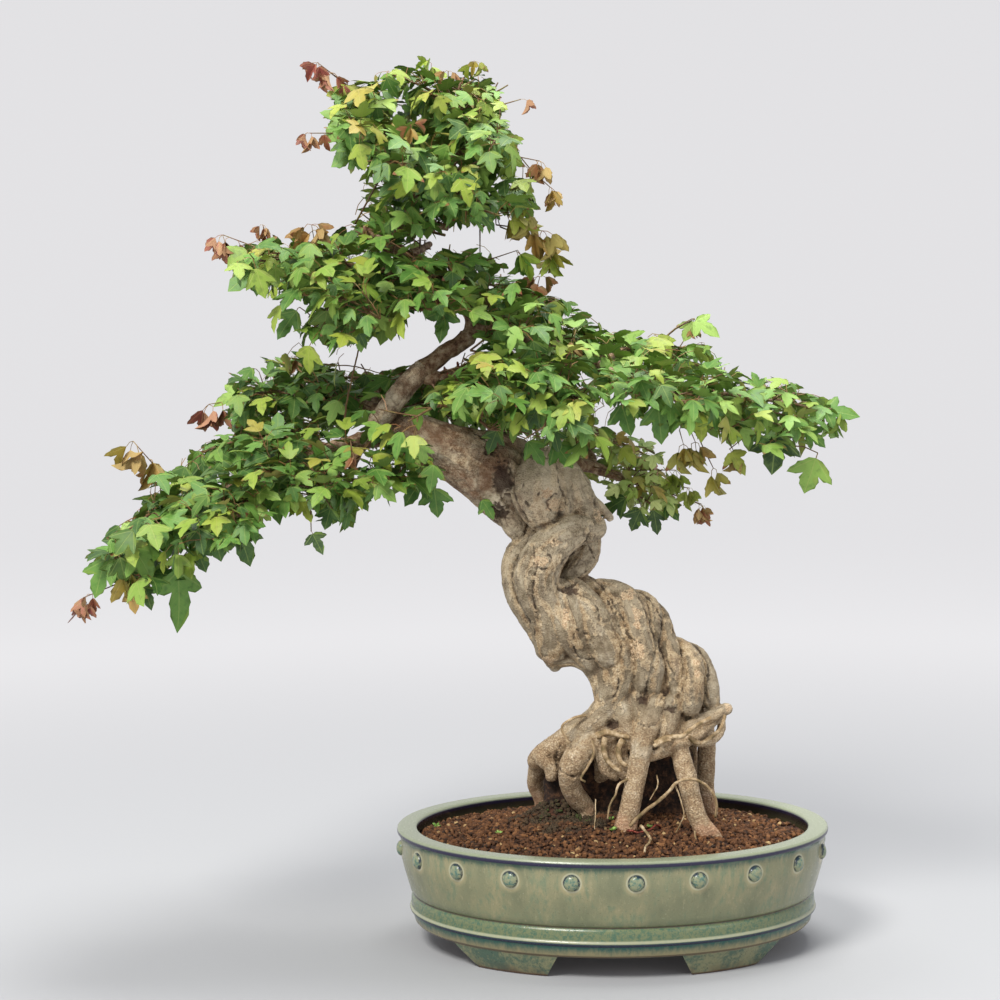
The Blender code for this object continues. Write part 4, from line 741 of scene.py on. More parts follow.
def boolean(base, others, operation="UNION"):
    """One Boolean of the base with all the others, applied, after which the others are removed."""
    group = bpy.data.collections.new("joining")
    for other in others:
        bpy.context.scene.collection.objects.unlink(other)
        group.objects.link(other)
    modifier = base.modifiers.new("join", "BOOLEAN")
    modifier.operand_type = "COLLECTION"
    modifier.collection = group
    modifier.operation = operation
    modifier.solver = "EXACT"
    apply_modifiers(base)
    for other in list(group.objects):
        remove(other)
    bpy.data.collections.remove(group)


def dress(piece, finish, slot, *nodes, sharp=40):
    """Gives a finished piece its material and its body, and hides the nodes it stands for. The slot is not
    used.
    """
    piece.data.materials.clear()
    piece.data.materials.append(finish.material)
    piece.data.shade_smooth()
    if sharp:
        piece.data.set_sharp_from_angle(angle=math.radians(sharp))
    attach(piece, "root")
    if nodes:
        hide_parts(*nodes)
    return piece


def through(points, step):
    """A smooth curve through the points, as points about one step apart (Catmull-Rom)."""
    knots = [Vector(point) for point in points]
    knots.insert(0, knots[0] * 2 - knots[1])
    knots.append(knots[-1] * 2 - knots[-2])
    route = []
    for before, start, end, after in zip(knots, knots[1:], knots[2:], knots[3:]):
        length = (spot_of(end) - spot_of(start)).length
        pieces = max(1, round(length / step))
        for index in range(pieces):
            t = index / pieces
            route.append(0.5 * (2 * start + (end - before) * t
                                + (2 * before - 5 * start + 4 * end - after) * t ** 2
                                + (3 * start - before - 3 * end + after) * t ** 3))
    route.append(knots[-2])
    return route


def rounded(route):
    """The rope with two smaller rings past each end, so that its ends are round."""
    def beyond(end, inner):
        outward = (spot_of(end) - spot_of(inner)).normalized()
        radius = end[3]
        return [Vector((*(spot_of(end) + outward * radius * reach), radius * share))
                for reach, share in ROUND_END]
    return beyond(route[0], route[1])[::-1] + route + beyond(route[-1], route[-2])


def tubes(name, routes, resolution):
    """One object with a closed tube for each route of (x, y, z, radius)."""
    curve = bpy.data.curves.new(name, "CURVE")
    curve.dimensions = "3D"
    curve.bevel_depth = MM
    curve.bevel_resolution = resolution
    curve.use_fill_caps = True
    for route in routes:
        spline = curve.splines.new("POLY")
        spline.points.add(len(route) - 1)
        for point, spot in zip(spline.points, route):
            point.co = (*place(*spot[:3]), 1.0)
            point.radius = spot[3]
    drawn = add_object(name + "_curve", curve)
    mesh = evaluated_mesh(drawn)
    remove(drawn)
    bm = bmesh.new()
    bm.from_mesh(mesh)
    bmesh.ops.remove_doubles(bm, verts=bm.verts, dist=0.00001)
    bpy.data.meshes.remove(mesh)
    return object_from(name, bm)


def oval_rings(profile):
    """Rings of (long half-axis, short half-axis, height) from a profile of (long half-axis, height)."""
    return [(half, half - OVAL_OFFSET, height) for half, height in profile]


def oval_bmesh(rings, sides):
    """A closed body, in millimetres, through rings of (long half-axis, short half-axis, height)."""
    bm = bmesh.new()
    half, short, height = rings[0]
    for vertex in bmesh.ops.create_circle(bm, cap_ends=True, segments=sides, radius=1.0)["verts"]:
        vertex.co = (vertex.co.x * half, vertex.co.y * short, height)
    edges = list(bm.edges)
    for (old_half, old_short, _), (half, short, height) in zip(rings, rings[1:]):
        grown = bmesh.ops.extrude_edge_only(bm, edges=edges)["geom"]
        edges = only(bmesh.types.BMEdge, grown)
        for vertex in only(bmesh.types.BMVert, grown):
            angle = math.atan2(vertex.co.y / old_short, vertex.co.x / old_half)
            vertex.co = (half * math.cos(angle), short * math.sin(angle), height)
    bmesh.ops.edgeloop_fill(bm, edges=edges)
    return bm


def settle(bm):
    """Turns millimetres from the pot's axis into the row's frame."""
    bmesh.ops.scale(bm, vec=(MM, MM, MM), verts=bm.verts)
    bmesh.ops.translate(bm, vec=AXIS, verts=bm.verts)


def oval_body(name, profile, sides):
    bm = oval_bmesh(oval_rings(profile), sides)
    settle(bm)
    return object_from(name, bm)


def oval_share(x, y, half):
    """How far out a place lies on the oval with this long half-axis: 1 on its edge."""
    return math.hypot(x / half, y / (half - OVAL_OFFSET))


def oval_point(half, arc):
    """The point and outward direction at an arc length from the front of an oval."""
    short = half - OVAL_OFFSET
    turn = 2 * math.pi / 2000
    angle = -math.pi / 2
    travelled = 0.0
    while travelled < abs(arc):
        travelled += math.hypot(half * math.sin(angle), short * math.cos(angle)) * turn
        angle += math.copysign(turn, arc)
    outward = Vector((math.cos(angle) / half, math.sin(angle) / short, 0)).normalized()
    return Vector((half * math.cos(angle), short * math.sin(angle), 0)), outward


def camera_axes():
    """The camera's right, up and forward directions."""
    forward = Vector((0, math.cos(CAMERA_DOWN), -math.sin(CAMERA_DOWN)))
    level = forward.cross(UP)
    right = level * math.cos(CAMERA_ROLL) + level.cross(forward) * math.sin(CAMERA_ROLL)
    return right, right.cross(forward), forward


def seen_at(spot):
    """The photograph's pixel at which a spot shows, from millimetres."""
    right, upward, forward = camera_axes()
    away = Vector(spot) - Vector(CAMERA_PLACE)
    scale = FOCAL_PIXELS / away.dot(forward)
    return PHOTO_WIDTH / 2 + away.dot(right) * scale, PHOTO_WIDTH / 2 - away.dot(upward) * scale


def from_photo(across, down, y):
    """The spot, in millimetres, that shows at a pixel of the photograph and lies at this depth."""
    right, upward, forward = camera_axes()
    ray = forward + (right * (across - PHOTO_WIDTH / 2) + upward * (PHOTO_WIDTH / 2 - down)) / FOCAL_PIXELS
    start = Vector(CAMERA_PLACE)
    return start + ray * ((y - start.y) / ray.y)


def make_camera():
    """The camera at the photograph's viewing angle, level with the lower branches."""
    right, upward, forward = camera_axes()
    camera = add_object("camera", bpy.data.cameras.new("camera"))
    camera.data.lens = CAMERA_LENS
    camera.data.sensor_width = SENSOR_WIDTH
    camera.data.dof.use_dof = False
    camera.matrix_world = Matrix.Translation(place(*CAMERA_PLACE)) @ Matrix(
        (right, upward, -forward)).transposed().to_4x4()
    bpy.context.scene.camera = camera


def make_stage():
    """A pale floor that curves up all round, and a pale sky over it."""
    bm = bmesh.new()
    spots = [bm.verts.new(AXIS + Vector((radius, 0, height))) for radius, height in STAGE_PROFILE]
    for first, second in zip(spots, spots[1:]):
        bm.edges.new((first, second))
    bmesh.ops.spin(bm, geom=bm.verts[:] + bm.edges[:], cent=AXIS, axis=UP, angle=2 * math.pi, steps=96,
                   use_merge=True)
    bmesh.ops.holes_fill(bm, edges=[edge for edge in bm.edges if edge.is_boundary
                                    and (edge.verts[0].co - AXIS).length < 0.5])
    floor = object_from("floor", bm)
    floor.data.shade_smooth()
    finish = Finish("pale_floor", roughness=0.9, specular_IOR_level=0.1, emission_strength=STAGE_GLOW)
    # Near the pot the floor is lit by the lamps alone, so that the pot's shadow shows. Far off it glows.
    east, north, _ = finish.parts(finish.here())
    away = (east * east + north * north) ** 0.5
    far = away.ramp(*FAR_FROM)
    finish.colour(finish.mix(far, NEAR_FLOOR, FAR_FLOOR))
    dim = [part * NEAR_GLOW / STAGE_GLOW for part in srgb(*GLOW_COLOUR)[:3]] + [1.0]
    glow = finish.mix(far, dim, GLOW_COLOUR)
    finish.tree.links.new(glow, finish.surface.inputs["Emission Color"])
    floor.data.materials.append(finish.material)
    world = bpy.data.worlds.new("pale_sky")
    world.use_nodes = True
    sky = world.node_tree.nodes["Background"].inputs
    sky["Color"].default_value = srgb(*SKY_COLOUR)
    sky["Strength"].default_value = SKY_STRENGTH
    bpy.context.scene.world = world
    bpy.context.scene.view_settings.view_transform = "Standard"


def make_lights():
    """Soft round lamps from the upper left, from the right and from above."""
    for name, (spot, width, power, colour) in LAMPS.items():
        lamp = bpy.data.lights.new(name, "AREA")
        lamp.shape = "DISK"
        lamp.size = width
        lamp.energy = power
        lamp.color = colour
        turn = (Vector(LAMP_AIM) - Vector(spot)).to_track_quat("-Z", "Y")
        piece = add_object(name, lamp)
        piece.matrix_world = Matrix.Translation(AXIS + Vector(spot)) @ turn.to_matrix().to_4x4()


def make_stud(index):
    """One flattened ball, sunk to its middle in the pot's wall."""
    spot, outward = oval_point(STUD_WALL_HALF, STUD_FIRST_ARC + index * STUD_ROUND / STUD_COUNT)
    bm = bmesh.new()
    bmesh.ops.create_uvsphere(bm, u_segments=28, v_segments=14, radius=1.0)
    bmesh.ops.scale(bm, vec=Vector((STUD_RADIUS, STUD_RADIUS, STUD_RISE)), verts=bm.verts)
    turn = outward.to_track_quat("Z", "Y").to_matrix().to_4x4()
    bmesh.ops.transform(bm, matrix=turn, verts=bm.verts)
    bmesh.ops.translate(bm, vec=spot + Vector((0, 0, STUD_HEIGHT)), verts=bm.verts)
    settle(bm)
    return object_from(f"stud_{index}", bm)


def foot_gap(name, half_low, half_high, across_x):
    """A long wedge that clears the gap between two feet, wider at the ground."""
    reach = 240.0
    bm = bmesh.new()
    bmesh.ops.create_cube(bm, size=1.0)
    for vertex in bm.verts:
        half = half_low if vertex.co.z < 0 else half_high
        vertex.co.x = math.copysign(half, vertex.co.x)
        vertex.co.y = math.copysign(reach, vertex.co.y)
        vertex.co.z = -2.0 if vertex.co.z < 0 else POT_PROFILE[0][1]
    if across_x:
        bmesh.ops.rotate(bm, matrix=Matrix.Rotation(math.radians(90), 3, "Z"), verts=bm.verts)
    settle(bm)
    return object_from(name, bm)


def make_feet():
    """The foot ring, hollow, cut into four feet."""
    feet = oval_body("feet", FOOT_OUTER, 112)
    hollow = oval_body("feet_hollow", FOOT_INNER, 112)
    gaps = [foot_gap("front_gap", *FRONT_GAP_HALF, across_x=False),
            foot_gap("end_gap", *END_GAP_HALF, across_x=True)]
    boolean(feet, [hollow, *gaps], "DIFFERENCE")
    return feet


def map_pot(piece):
    """A map for the glaze: across in stud pitches round the wall, up in millimetres."""
    short = STUD_WALL_HALF - OVAL_OFFSET
    steps = 3600
    travelled = [0.0]
    for step in range(steps):
        angle = (step + 0.5) * 2 * math.pi / steps
        step_length = math.hypot(STUD_WALL_HALF * math.sin(angle), short * math.cos(angle))
        travelled.append(travelled[-1] + step_length)

    def studs_to(angle):
        return travelled[round(angle / (2 * math.pi) * steps)] / travelled[-1] * STUD_COUNT

    start = studs_to(1.5 * math.pi) + STUD_FIRST_ARC / STUD_ROUND * STUD_COUNT
    layer = piece.data.uv_layers.new(name="glaze")
    spots = []
    for vertex in piece.data.vertices:
        x, y, z = (vertex.co - AXIS) / MM
        angle = math.atan2(y / short, x / STUD_WALL_HALF) % (2 * math.pi)
        spots.append(((studs_to(angle) - start) % STUD_COUNT, z * MM))
    for face in piece.data.polygons:
        corners = [spots[piece.data.loops[loop].vertex_index] for loop in face.loop_indices]
        turns = [turn for turn, _ in corners]
        wraps = max(turns) - min(turns) > STUD_COUNT / 2
        for loop, (turn, height) in zip(face.loop_indices, corners):
            lifted = turn + STUD_COUNT if wraps and turn < STUD_COUNT / 2 else turn
            layer.uv[loop].vector = (lifted, height)


def glaze_finish():
    """Mottled olive glaze that runs teal from the lip, the studs and the ridges."""
    glaze = Finish("mottled_glaze", roughness=0.16)
    here = glaze.here()
    _, _, height = glaze.parts(glaze.shifted(here, glaze.wobble(here, 9.0), 2.4))
    _, _, true_height = glaze.parts(here)
    across, _, _ = glaze.parts(glaze.chart("glaze"))
    aside = ((across + 0.5).fraction() - 0.5) * (STUD_ROUND / STUD_COUNT)
    above = true_height - STUD_HEIGHT
    from_stud = (aside * aside + above * above) ** 0.5
    streaks = glaze.noise(glaze.stretched(here, (1.0, 1.0, 0.3)), 5.0, detail=5.0, roughness=0.7)
    broad = glaze.noise(glaze.stretched(here, (1.0, 1.0, 0.5)), 34.0, detail=3.0, roughness=0.5)
    fine = glaze.noise(here, 2.0, detail=4.0, roughness=0.7)
    blotchy = glaze.noise(here, 4.2, detail=4.0, roughness=0.7)
    grainy = glaze.noise(here, 0.9, detail=2.0, roughness=0.6)
    outside, bare = glaze.value("outside"), glaze.value("bare")
    teal, navy, sage = (42, 86, 78), (38, 36, 62), (142, 150, 124)
    olive = glaze.between(broad, (0.30, 110, 114, 88), (0.48, 130, 130, 100), (0.62, 144, 139, 106),
                          (0.75, 156, 144, 110))
    cloudy = (streaks * 0.6 + broad * 0.4 + (20.0 - from_stud).ramp(0.0, 30.0) * 0.08).ramp(0.50, 0.62)
    dark_rim = (from_stud + (blotchy - 0.5) * 9.0 + above.ramp(-6.0, 6.0) * 1.2).ramp(7.2, 8.4)
    stud = glaze.coats((138, 142, 112), (blotchy.ramp(0.42, 0.62), (80, 112, 100)),
                       (dark_rim * 0.9, (26, 40, 62)))
    under_waist = glaze.coats((112, 120, 86),
                              ((blotchy * 0.6 + grainy * 0.4).ramp(0.44, 0.60), (72, 102, 82)),
                              (fine.ramp(0.40, 0.30) * 0.7, (34, 62, 58)))
    low = glaze.mix((height + streaks * 12.0).ramp(40.0, 29.0), teal, (150, 140, 104))
    feet = glaze.coats((76, 98, 82), ((broad * 0.5 + blotchy * 0.5).ramp(0.42, 0.58), (130, 130, 98)),
                       (fine.ramp(0.42, 0.32) * 0.7, (28, 50, 50)))
    inner = glaze.mix(height.ramp(100.0, 114.0), (74, 70, 48), (40, 40, 40))
    body = glaze.coats(
        olive,
        (cloudy * (0.25 + 0.5 * grainy), (84, 118, 96)),
        (streaks.ramp(0.44, 0.34) * 0.3, (168, 158, 122)),
        (grainy.ramp(0.60, 0.68) * 0.35, (88, 104, 84)),
        (fine.ramp(0.38, 0.30) * 0.6, (64, 70, 52)),
        (fine.ramp(0.62, 0.74) * 0.25, (182, 178, 148)),
        # Greener towards the waist and dark under the lip, where the glaze ran thin.
        ((height + streaks * 22.0).ramp(82.0, 66.0) * 0.2, (108, 124, 92)),
        ((height + streaks * 10.0).ramp(109.5, 117.5) * 0.8, teal),
        # Studs: a pale ring round each, dark at the sides, teal blotches above and olive below.
        (from_stud.band(*STUD_HALO) * (0.35 + 0.35 * (0.0 - above).ramp(-2.0, 8.0)), (172, 160, 122)),
        (from_stud.band(*STUD_RING) * 0.6, (186, 186, 160)),
        (from_stud.ramp(8.6, 7.4), stud),
        # The waist: a thin brown groove, a greener band under it and a ridge whose crest has a pale painted
        # highlight.
        (height.ramp(54.0, 50.5), under_waist),
        (true_height.band(*WAIST_GROOVE) * 0.8, (62, 46, 34)),
        (true_height.band(*RIDGE_PAINTED_HIGHLIGHT) * 0.55, (186, 184, 158)),
        (true_height.ramp(37.0, 35.8), low),
        (true_height.band(*RIDGE_LINE) * 0.85, navy),
        (true_height.band(*FOOT_LINE) * 0.75, (66, 46, 34)),
        (height.ramp(22.6, 20.6), feet),
        # The lip: a navy line on its outer edge and on its inner edge, and a pale top.
        (1.0 - outside, inner),
        (true_height.ramp(111.4, 112.8), glaze.mix((true_height + fine).ramp(115.4, 117.2), navy, sage)),
        (true_height.ramp(116.8, 117.8) * fine.ramp(0.42, 0.60) * 0.35, (170, 176, 152)),
        # The clay shows at the bottom of the feet, and the underside is dark and bare.
        (bare, glaze.mix(fine, (58, 34, 24), (104, 66, 44))),
    )
    glaze.colour(body)
    glaze.rough((1.0 - bare) * (0.17 + 0.16 * fine) + bare * 0.75)
    pits = glaze.cells(here, 3.4).ramp(0.28, 0.05) * fine.ramp(0.4, 0.6)
    glaze.relief(blotchy * 0.6 + fine * 0.2 - pits * 0.4, 0.5, 0.5)
    return glaze


def mark_bare_clay(piece):
    """Where the pot shows bare clay, on its soles and underside, and which side of its lip is outside."""
    for name in ("bare", "outside"):
        piece.data.attributes.new(name, "FLOAT", "POINT")
    bare, outside = piece.data.attributes["bare"].data, piece.data.attributes["outside"].data
    under_half, under_height = POT_PROFILE[0]
    for index, vertex in enumerate(piece.data.vertices):
        x, y, z = spot = (vertex.co - AXIS) / MM
        ragged = 2 * SOLE_WAVE * noise.noise(spot / 2.0)
        sole = clamp((SOLE_TOP + ragged - z) / SOLE_FADE)
        under = z < under_height + 0.3 and oval_share(x, y, under_half) < UNDERSIDE_REACH
        bare[index].value = max(sole, float(under))
        outside[index].value = float(oval_share(x, y, LIP_MIDDLE) > 1.0 or z < WALL_FROM)


def make_pot():
    """The glazed pot as one body: wall, lip, waist, studs and four feet, with two drain holes."""
    pot = oval_body("pot_glazed", POT_PROFILE, POT_SIDES)
    boolean(pot, [make_feet(), *(make_stud(index) for index in range(STUD_COUNT))])
    drains = []
    for side in (-1, 1):
        bm = bmesh.new()
        bmesh.ops.create_cone(bm, cap_ends=True, segments=40, radius1=DRAIN_RADIUS, radius2=DRAIN_RADIUS,
                              depth=30.0)
        bmesh.ops.translate(bm, vec=(side * DRAIN_OFFSET, 0, 28.0), verts=bm.verts)
        settle(bm)
        drains.append(object_from(f"drain_{side}", bm))
    boolean(pot, drains, "DIFFERENCE")
    map_pot(pot)
    mark_bare_clay(pot)
    return dress(pot, glaze_finish(), "glaze", "pot", sharp=35)


def plastic_finish():
    """Moulded black plastic with a faint grain and a dusting of soil."""
    plastic = Finish("black_plastic", roughness=0.55)
    here = plastic.here()
    dust = plastic.noise(here, 5.0, detail=4.0)
    plastic.colour(plastic.mix(dust.ramp(0.5, 0.75) * 0.6, (26, 26, 27), (86, 62, 48)))
    plastic.relief(plastic.noise(here, 0.8), 0.1)
    return plastic


def soil_height(x, y):
    """Height of the soil's surface: low at the pot's lip, mounded round the roots, slightly uneven."""
    spread = (x / SOIL_MOUND_HALF_LENGTH) ** 2 + (y / SOIL_MOUND_HALF_WIDTH) ** 2
    inside = max(0.0, 1.0 - spread)
    wave = math.sin(2 * math.pi * x / SOIL_WAVE + 1.0) * math.cos(2 * math.pi * y / SOIL_WAVE)
    heap = max(0.0, 1.0 - math.hypot(x - HEAP_MIDDLE[0], y - HEAP_MIDDLE[1]) / HEAP_REACH)
    return (SOIL_EDGE + SOIL_MOUND * inside ** 1.5 + SOIL_UNEVEN * wave * inside ** 0.5
            + HEAP_RISE * heap * heap * (3.0 - 2.0 * heap))


def bed_finish():
    bed = Finish("soil_bed", roughness=0.95)
    here = bed.here()
    lumps = bed.cells(here, 4.5)
    tint = bed.noise(here, 7.0, detail=4.0)
    bed.colour(bed.between(tint + lumps * 0.2, (0.35, 32, 19, 13), (0.6, 66, 39, 26), (0.8, 92, 58, 38)))
    bed.relief(lumps.ramp(0.7, 0.0), 2.0)
    return bed


def make_soil_bed():
    """The moist body of the soil: up the pot's wall, then over its top, a little under the grains."""
    shares = [share / SOIL_RINGS for share in range(SOIL_RINGS - 1, 0, -1)]
    top = [(SOIL_HALF * share, (SOIL_HALF - OVAL_OFFSET) * share, SOIL_EDGE) for share in shares]
    bed = oval_bmesh(oval_rings(SOIL_SIDE) + top, 120)
    for vertex in bed.verts:
        if vertex.co.z > SOIL_EDGE - 0.1:
            vertex.co.z = soil_height(vertex.co.x, vertex.co.y) - BED_DEPTH
    settle(bed)
    return dress(object_from("soil_bed", bed), bed_finish(), "soil_grain", "soil", sharp=60)


def grain_finish():
    """Fired red-brown grains: each with its own tint, dusty above and darker where moist or mossy."""
    grain = Finish("red_brown_grains", roughness=0.92)
    moss = grain.value("moss")
    speckle = grain.noise(grain.here(), 1.1, detail=4.0, roughness=0.7)
    fired = grain.between(grain.value("grain_tint"), (0.0, 44, 28, 16), (0.3, 80, 50, 28),
                          (0.6, 108, 70, 40), (0.85, 140, 96, 58), (0.97, 190, 160, 112))
    wet = grain.mix(speckle.ramp(0.35, 0.65), (26, 21, 16), (92, 74, 50))
    grain.colour(grain.coats(
        fired,
        (speckle.ramp(0.55, 0.75) * 0.5, (170, 124, 88)),
        (speckle.ramp(0.45, 0.3) * 0.6, (34, 20, 14)),
        (moss.ramp(0.0, 0.5), wet),
        (moss.ramp(0.85, 1.0) * speckle.ramp(0.4, 0.6), (62, 84, 30)),
    ))
    grain.relief(speckle, 0.5)
    return grain


def mossy(x, y):
    """How mossy the soil is: most in the dark patch in front and to the left of the roots."""
    patch = 1.0 - math.hypot((x - MOSS_MIDDLE[0]) / MOSS_HALF[0], (y - MOSS_MIDDLE[1]) / MOSS_HALF[1])
    ragged = noise.noise(Vector((x, y, 3.0)) * 0.05)
    return clamp(1.5 * patch + 1.3 * ragged) * clamp(6.0 * patch)


def grain_spots(rng, wood_tree):
    """Where each grain lies, with its radius: all over the bed, but not where wood stands or wire lies."""
    wire = [point.to_2d() for point in wire_route() if point.z > soil_height(point.x, point.y)]
    for count, least, most in (COARSE_GRAINS, FINE_GRAINS):
        for _ in range(count):
            reach = math.sqrt(rng.random()) * GRAIN_REACH
            angle = rng.uniform(0, 2 * math.pi)
            x = SOIL_HALF * reach * math.cos(angle)
            y = (SOIL_HALF - OVAL_OFFSET) * reach * math.sin(angle)
            radius = rng.uniform(least, most)
            if (1.0 - reach) * (SOIL_HALF - OVAL_OFFSET) < radius:
                continue
            lift = rng.uniform(-0.5, 0.35) * radius if least > 2 else rng.uniform(-0.2, 1.4)
            spot = Vector((x, y, soil_height(x, y) + lift))
            under_wire = any((point - spot.to_2d()).length < WIRE_RADIUS + radius for point in wire)
            if not under_wire and not inside_wood(wood_tree, place(*spot), 0.8 * MM):
                yield spot, radius


def add_grain(bm, rng, spot, radius):
    """One grain: a rough twenty-sided lump, squashed, turned and knocked about."""
    shape = Matrix.Diagonal((rng.uniform(0.75, 1.15), rng.uniform(0.75, 1.15), rng.uniform(0.65, 0.95), 1.0))
    turn = Matrix.Rotation(rng.uniform(0, 6.28), 4, (rng.uniform(-1, 1), rng.uniform(-1, 1), 1.0))
    made = bmesh.ops.create_icosphere(bm, subdivisions=1, radius=radius * MM,
                                      matrix=Matrix.Translation(place(*spot)) @ turn @ shape)["verts"]
    shade = clamp(rng.gauss(0.48, 0.2), 0.96)
    if rng.random() < PALE_GRAINS:
        shade = 1.0
    if rng.random() < DARK_GRAINS:
        shade = 0.02
    green = mossy(spot.x, spot.y) * rng.uniform(0.6, 1.0)
    layers = bm.verts.layers.float
    for vertex in made:
        vertex.co += Vector([rng.uniform(-GRAIN_KNOCKS, GRAIN_KNOCKS) * radius * MM for _ in range(3)])
        vertex[layers["grain_tint"]] = shade
        vertex[layers["moss"]] = green


def make_grains(wood_tree):
    """Loose grains over the whole bed, heaped from batches, since each one added slows the next."""
    rng = random.Random(5)
    heap = bmesh.new()
    spots = list(grain_spots(rng, wood_tree))
    for first in range(0, len(spots), GRAIN_BATCH):
        batch = bmesh.new()
        batch.verts.layers.float.new("grain_tint")
        batch.verts.layers.float.new("moss")
        for spot, radius in spots[first:first + GRAIN_BATCH]:
            add_grain(batch, rng, spot, radius)
        bmesh.ops.recalc_face_normals(batch, faces=batch.faces)
        mesh = bpy.data.meshes.new("batch")
        batch.to_mesh(mesh)
        batch.free()
        heap.from_mesh(mesh)
        bpy.data.meshes.remove(mesh)
    grains = object_from("soil_grains", heap, outward=False)
    return dress(grains, grain_finish(), "soil_grain", sharp=50)


def inside_wood(tree, spot, margin):
    """True if the spot is inside the wood or nearer to it than the margin."""
    near, normal, _, distance = tree.find_nearest(spot)
    return distance < margin or (spot - near).dot(normal) < 0


def extend_down(route, depth):
    """A leg's route with a last upright stretch down to the given depth."""
    x, y, _, radius = route[-1]
    return [*route, (x, y, depth, radius)]


def wood_routes():
    """Every rope of the trunk, the roots and the heavy limb, the root legs carried down into the soil."""
    routes = []
    for group in (TRUNK_ROPES, UPPER_ROOTS, LIMB_ROPES, INNER_ROOTS):
        routes += list(group.values())
    routes += [extend_down(route, ROOT_DEPTH - 6) for route in ROOT_LEGS.values()]
    return routes


def largest_body(piece):
    """Drops loose scraps and the skins of sealed hollows, and keeps the largest closed skin."""
    bm = bmesh.new()
    bm.from_mesh(piece.data)
    unseen = set(bm.faces)
    bodies = []
    while unseen:
        stack = [unseen.pop()]
        body = []
        while stack:
            face = stack.pop()
            body.append(face)
            for edge in face.edges:
                for near in edge.link_faces:
                    if near in unseen:
                        unseen.remove(near)
                        stack.append(near)
        bodies.append(body)
    bodies.sort(key=len)
    for body in bodies[:-1]:
        bmesh.ops.delete(bm, geom=body, context="FACES")
    bm.to_mesh(piece.data)
    bm.free()


def hollow_depths(piece, rounds):
    """For each point, how far a much smoother skin lies above it: above 0 in creases, below on ridges."""
    copy = add_object("smoother", piece.data.copy())
    even = copy.modifiers.new("even", "SMOOTH")
    even.factor = 0.8
    even.iterations = rounds
    apply_modifiers(copy)
    depths = [(smooth.co - vertex.co).dot(vertex.normal) / MM
              for smooth, vertex in zip(copy.data.vertices, piece.data.vertices)]
    remove(copy)
    return depths


class Grain:
    """Which way the wood's grain runs at a spot, from the nearest rope."""

    def __init__(self, routes):
        self.samples = []
        for number, route in enumerate(routes):
            points = through(route, SAMPLE_STEP)
            travelled = 0.0
            for before, point in zip(points, points[1:]):
                step = spot_of(point) - spot_of(before)
                travelled += step.length
                self.samples.append((spot_of(point), point[3], number, travelled, step.normalized()))
        self.tree = tree_of([sample[0] for sample in self.samples])

    def at(self, spot):
        """(rope, along, angle round it in radians, radius) for a spot in millimetres."""
        near = min(self.tree.find_n(spot, 8), key=lambda item: item[2] - self.samples[item[1]][1])
        middle, radius, number, along, ahead = self.samples[near[1]]
        side = ahead.cross(Vector((0.31, 0.94, 0.12))).normalized()
        over = ahead.cross(side)
        away = spot - middle
        return number, along + away.dot(ahead), math.atan2(away.dot(side), away.dot(over)), radius


def furrow_at(number, along, angle, radius):
    """Long wrinkles that run with the grain, 0 to 1, from noise wrapped round the rope."""
    wide = radius / 3.2
    spot = Vector((math.cos(angle) * wide, math.sin(angle) * wide, along / 22.0 + number * 7.3))
    fine = Vector((math.cos(angle) * wide * 2.3, math.sin(angle) * wide * 2.3, along / 11.0 + number * 3.1))
    return 0.5 + 0.5 * noise.noise(spot) + 0.3 * noise.noise(fine)


def crack_at(spot, size):
    """1 in the cracks between bark plates of about this size, and 0 on the plates."""
    bent = spot + noise.noise_vector(spot / 9.0) * 3.0
    near, _ = noise.voronoi(Vector((bent.x, bent.y, bent.z * 0.8)) / size)
    return max(0.0, 1.0 - (near[1] - near[0]) / CRACK_WIDTH)


def plate_share(spot):
    """How plated the bark is: most on the trunk's head and limb, little on the roots."""
    head = clamp((spot.z - 330.0) / 70.0)
    patchy = noise.noise(spot / 26.0)
    return clamp(head * (0.65 + 1.3 * patchy))


def line_tree():
    """The bark lines' points, close together, for finding the nearest."""
    points = []
    for line in BARK_LINES.values():
        points += through([(*pixel, 0.0) for pixel in line], LINE_STEP)
    return tree_of(points)


def patch_share(patches, across, down, ragged):
    """1 inside any of the patches, falling to 0 at a ragged edge."""
    best = 0.0
    for (x, y), half_width, half_height in patches:
        reach = math.hypot((across - x) / half_width, (down - y) / half_height) + ragged
        best = max(best, min(1.0, (1.15 - reach) / 0.25))
    return best


def front_marks(spot, normal, lines):
    """(line, lip, peeled, hollow), each 0 to 1, for marks that the photograph shows on this spot."""
    if normal.y > FRONT_FACING or spot.z < MARKS_FROM:
        return 0.0, 0.0, 0.0, 0.0
    across, down = seen_at(spot)
    _, _, away = lines.find((across, down, 0.0))
    away += 1.3 * noise.noise(spot / 2.6) + 0.8 * noise.noise(spot / 6.0)
    broken = 0.75 + 0.8 * noise.noise(spot / 9.0)
    line = clamp(1.5 - away / LINE_WIDTH) * clamp(broken)
    flaky = 0.6 + 1.2 * noise.noise(spot / 4.0)
    lip = max(0.0, 1.0 - abs(away - 0.45 * LIP_REACH) / (0.55 * LIP_REACH)) * clamp(flaky)
    ragged = 0.7 * noise.noise(spot / 3.0)
    return line, lip, patch_share(PEELED, across, down, ragged), patch_share(HOLLOWS, across, down, ragged)


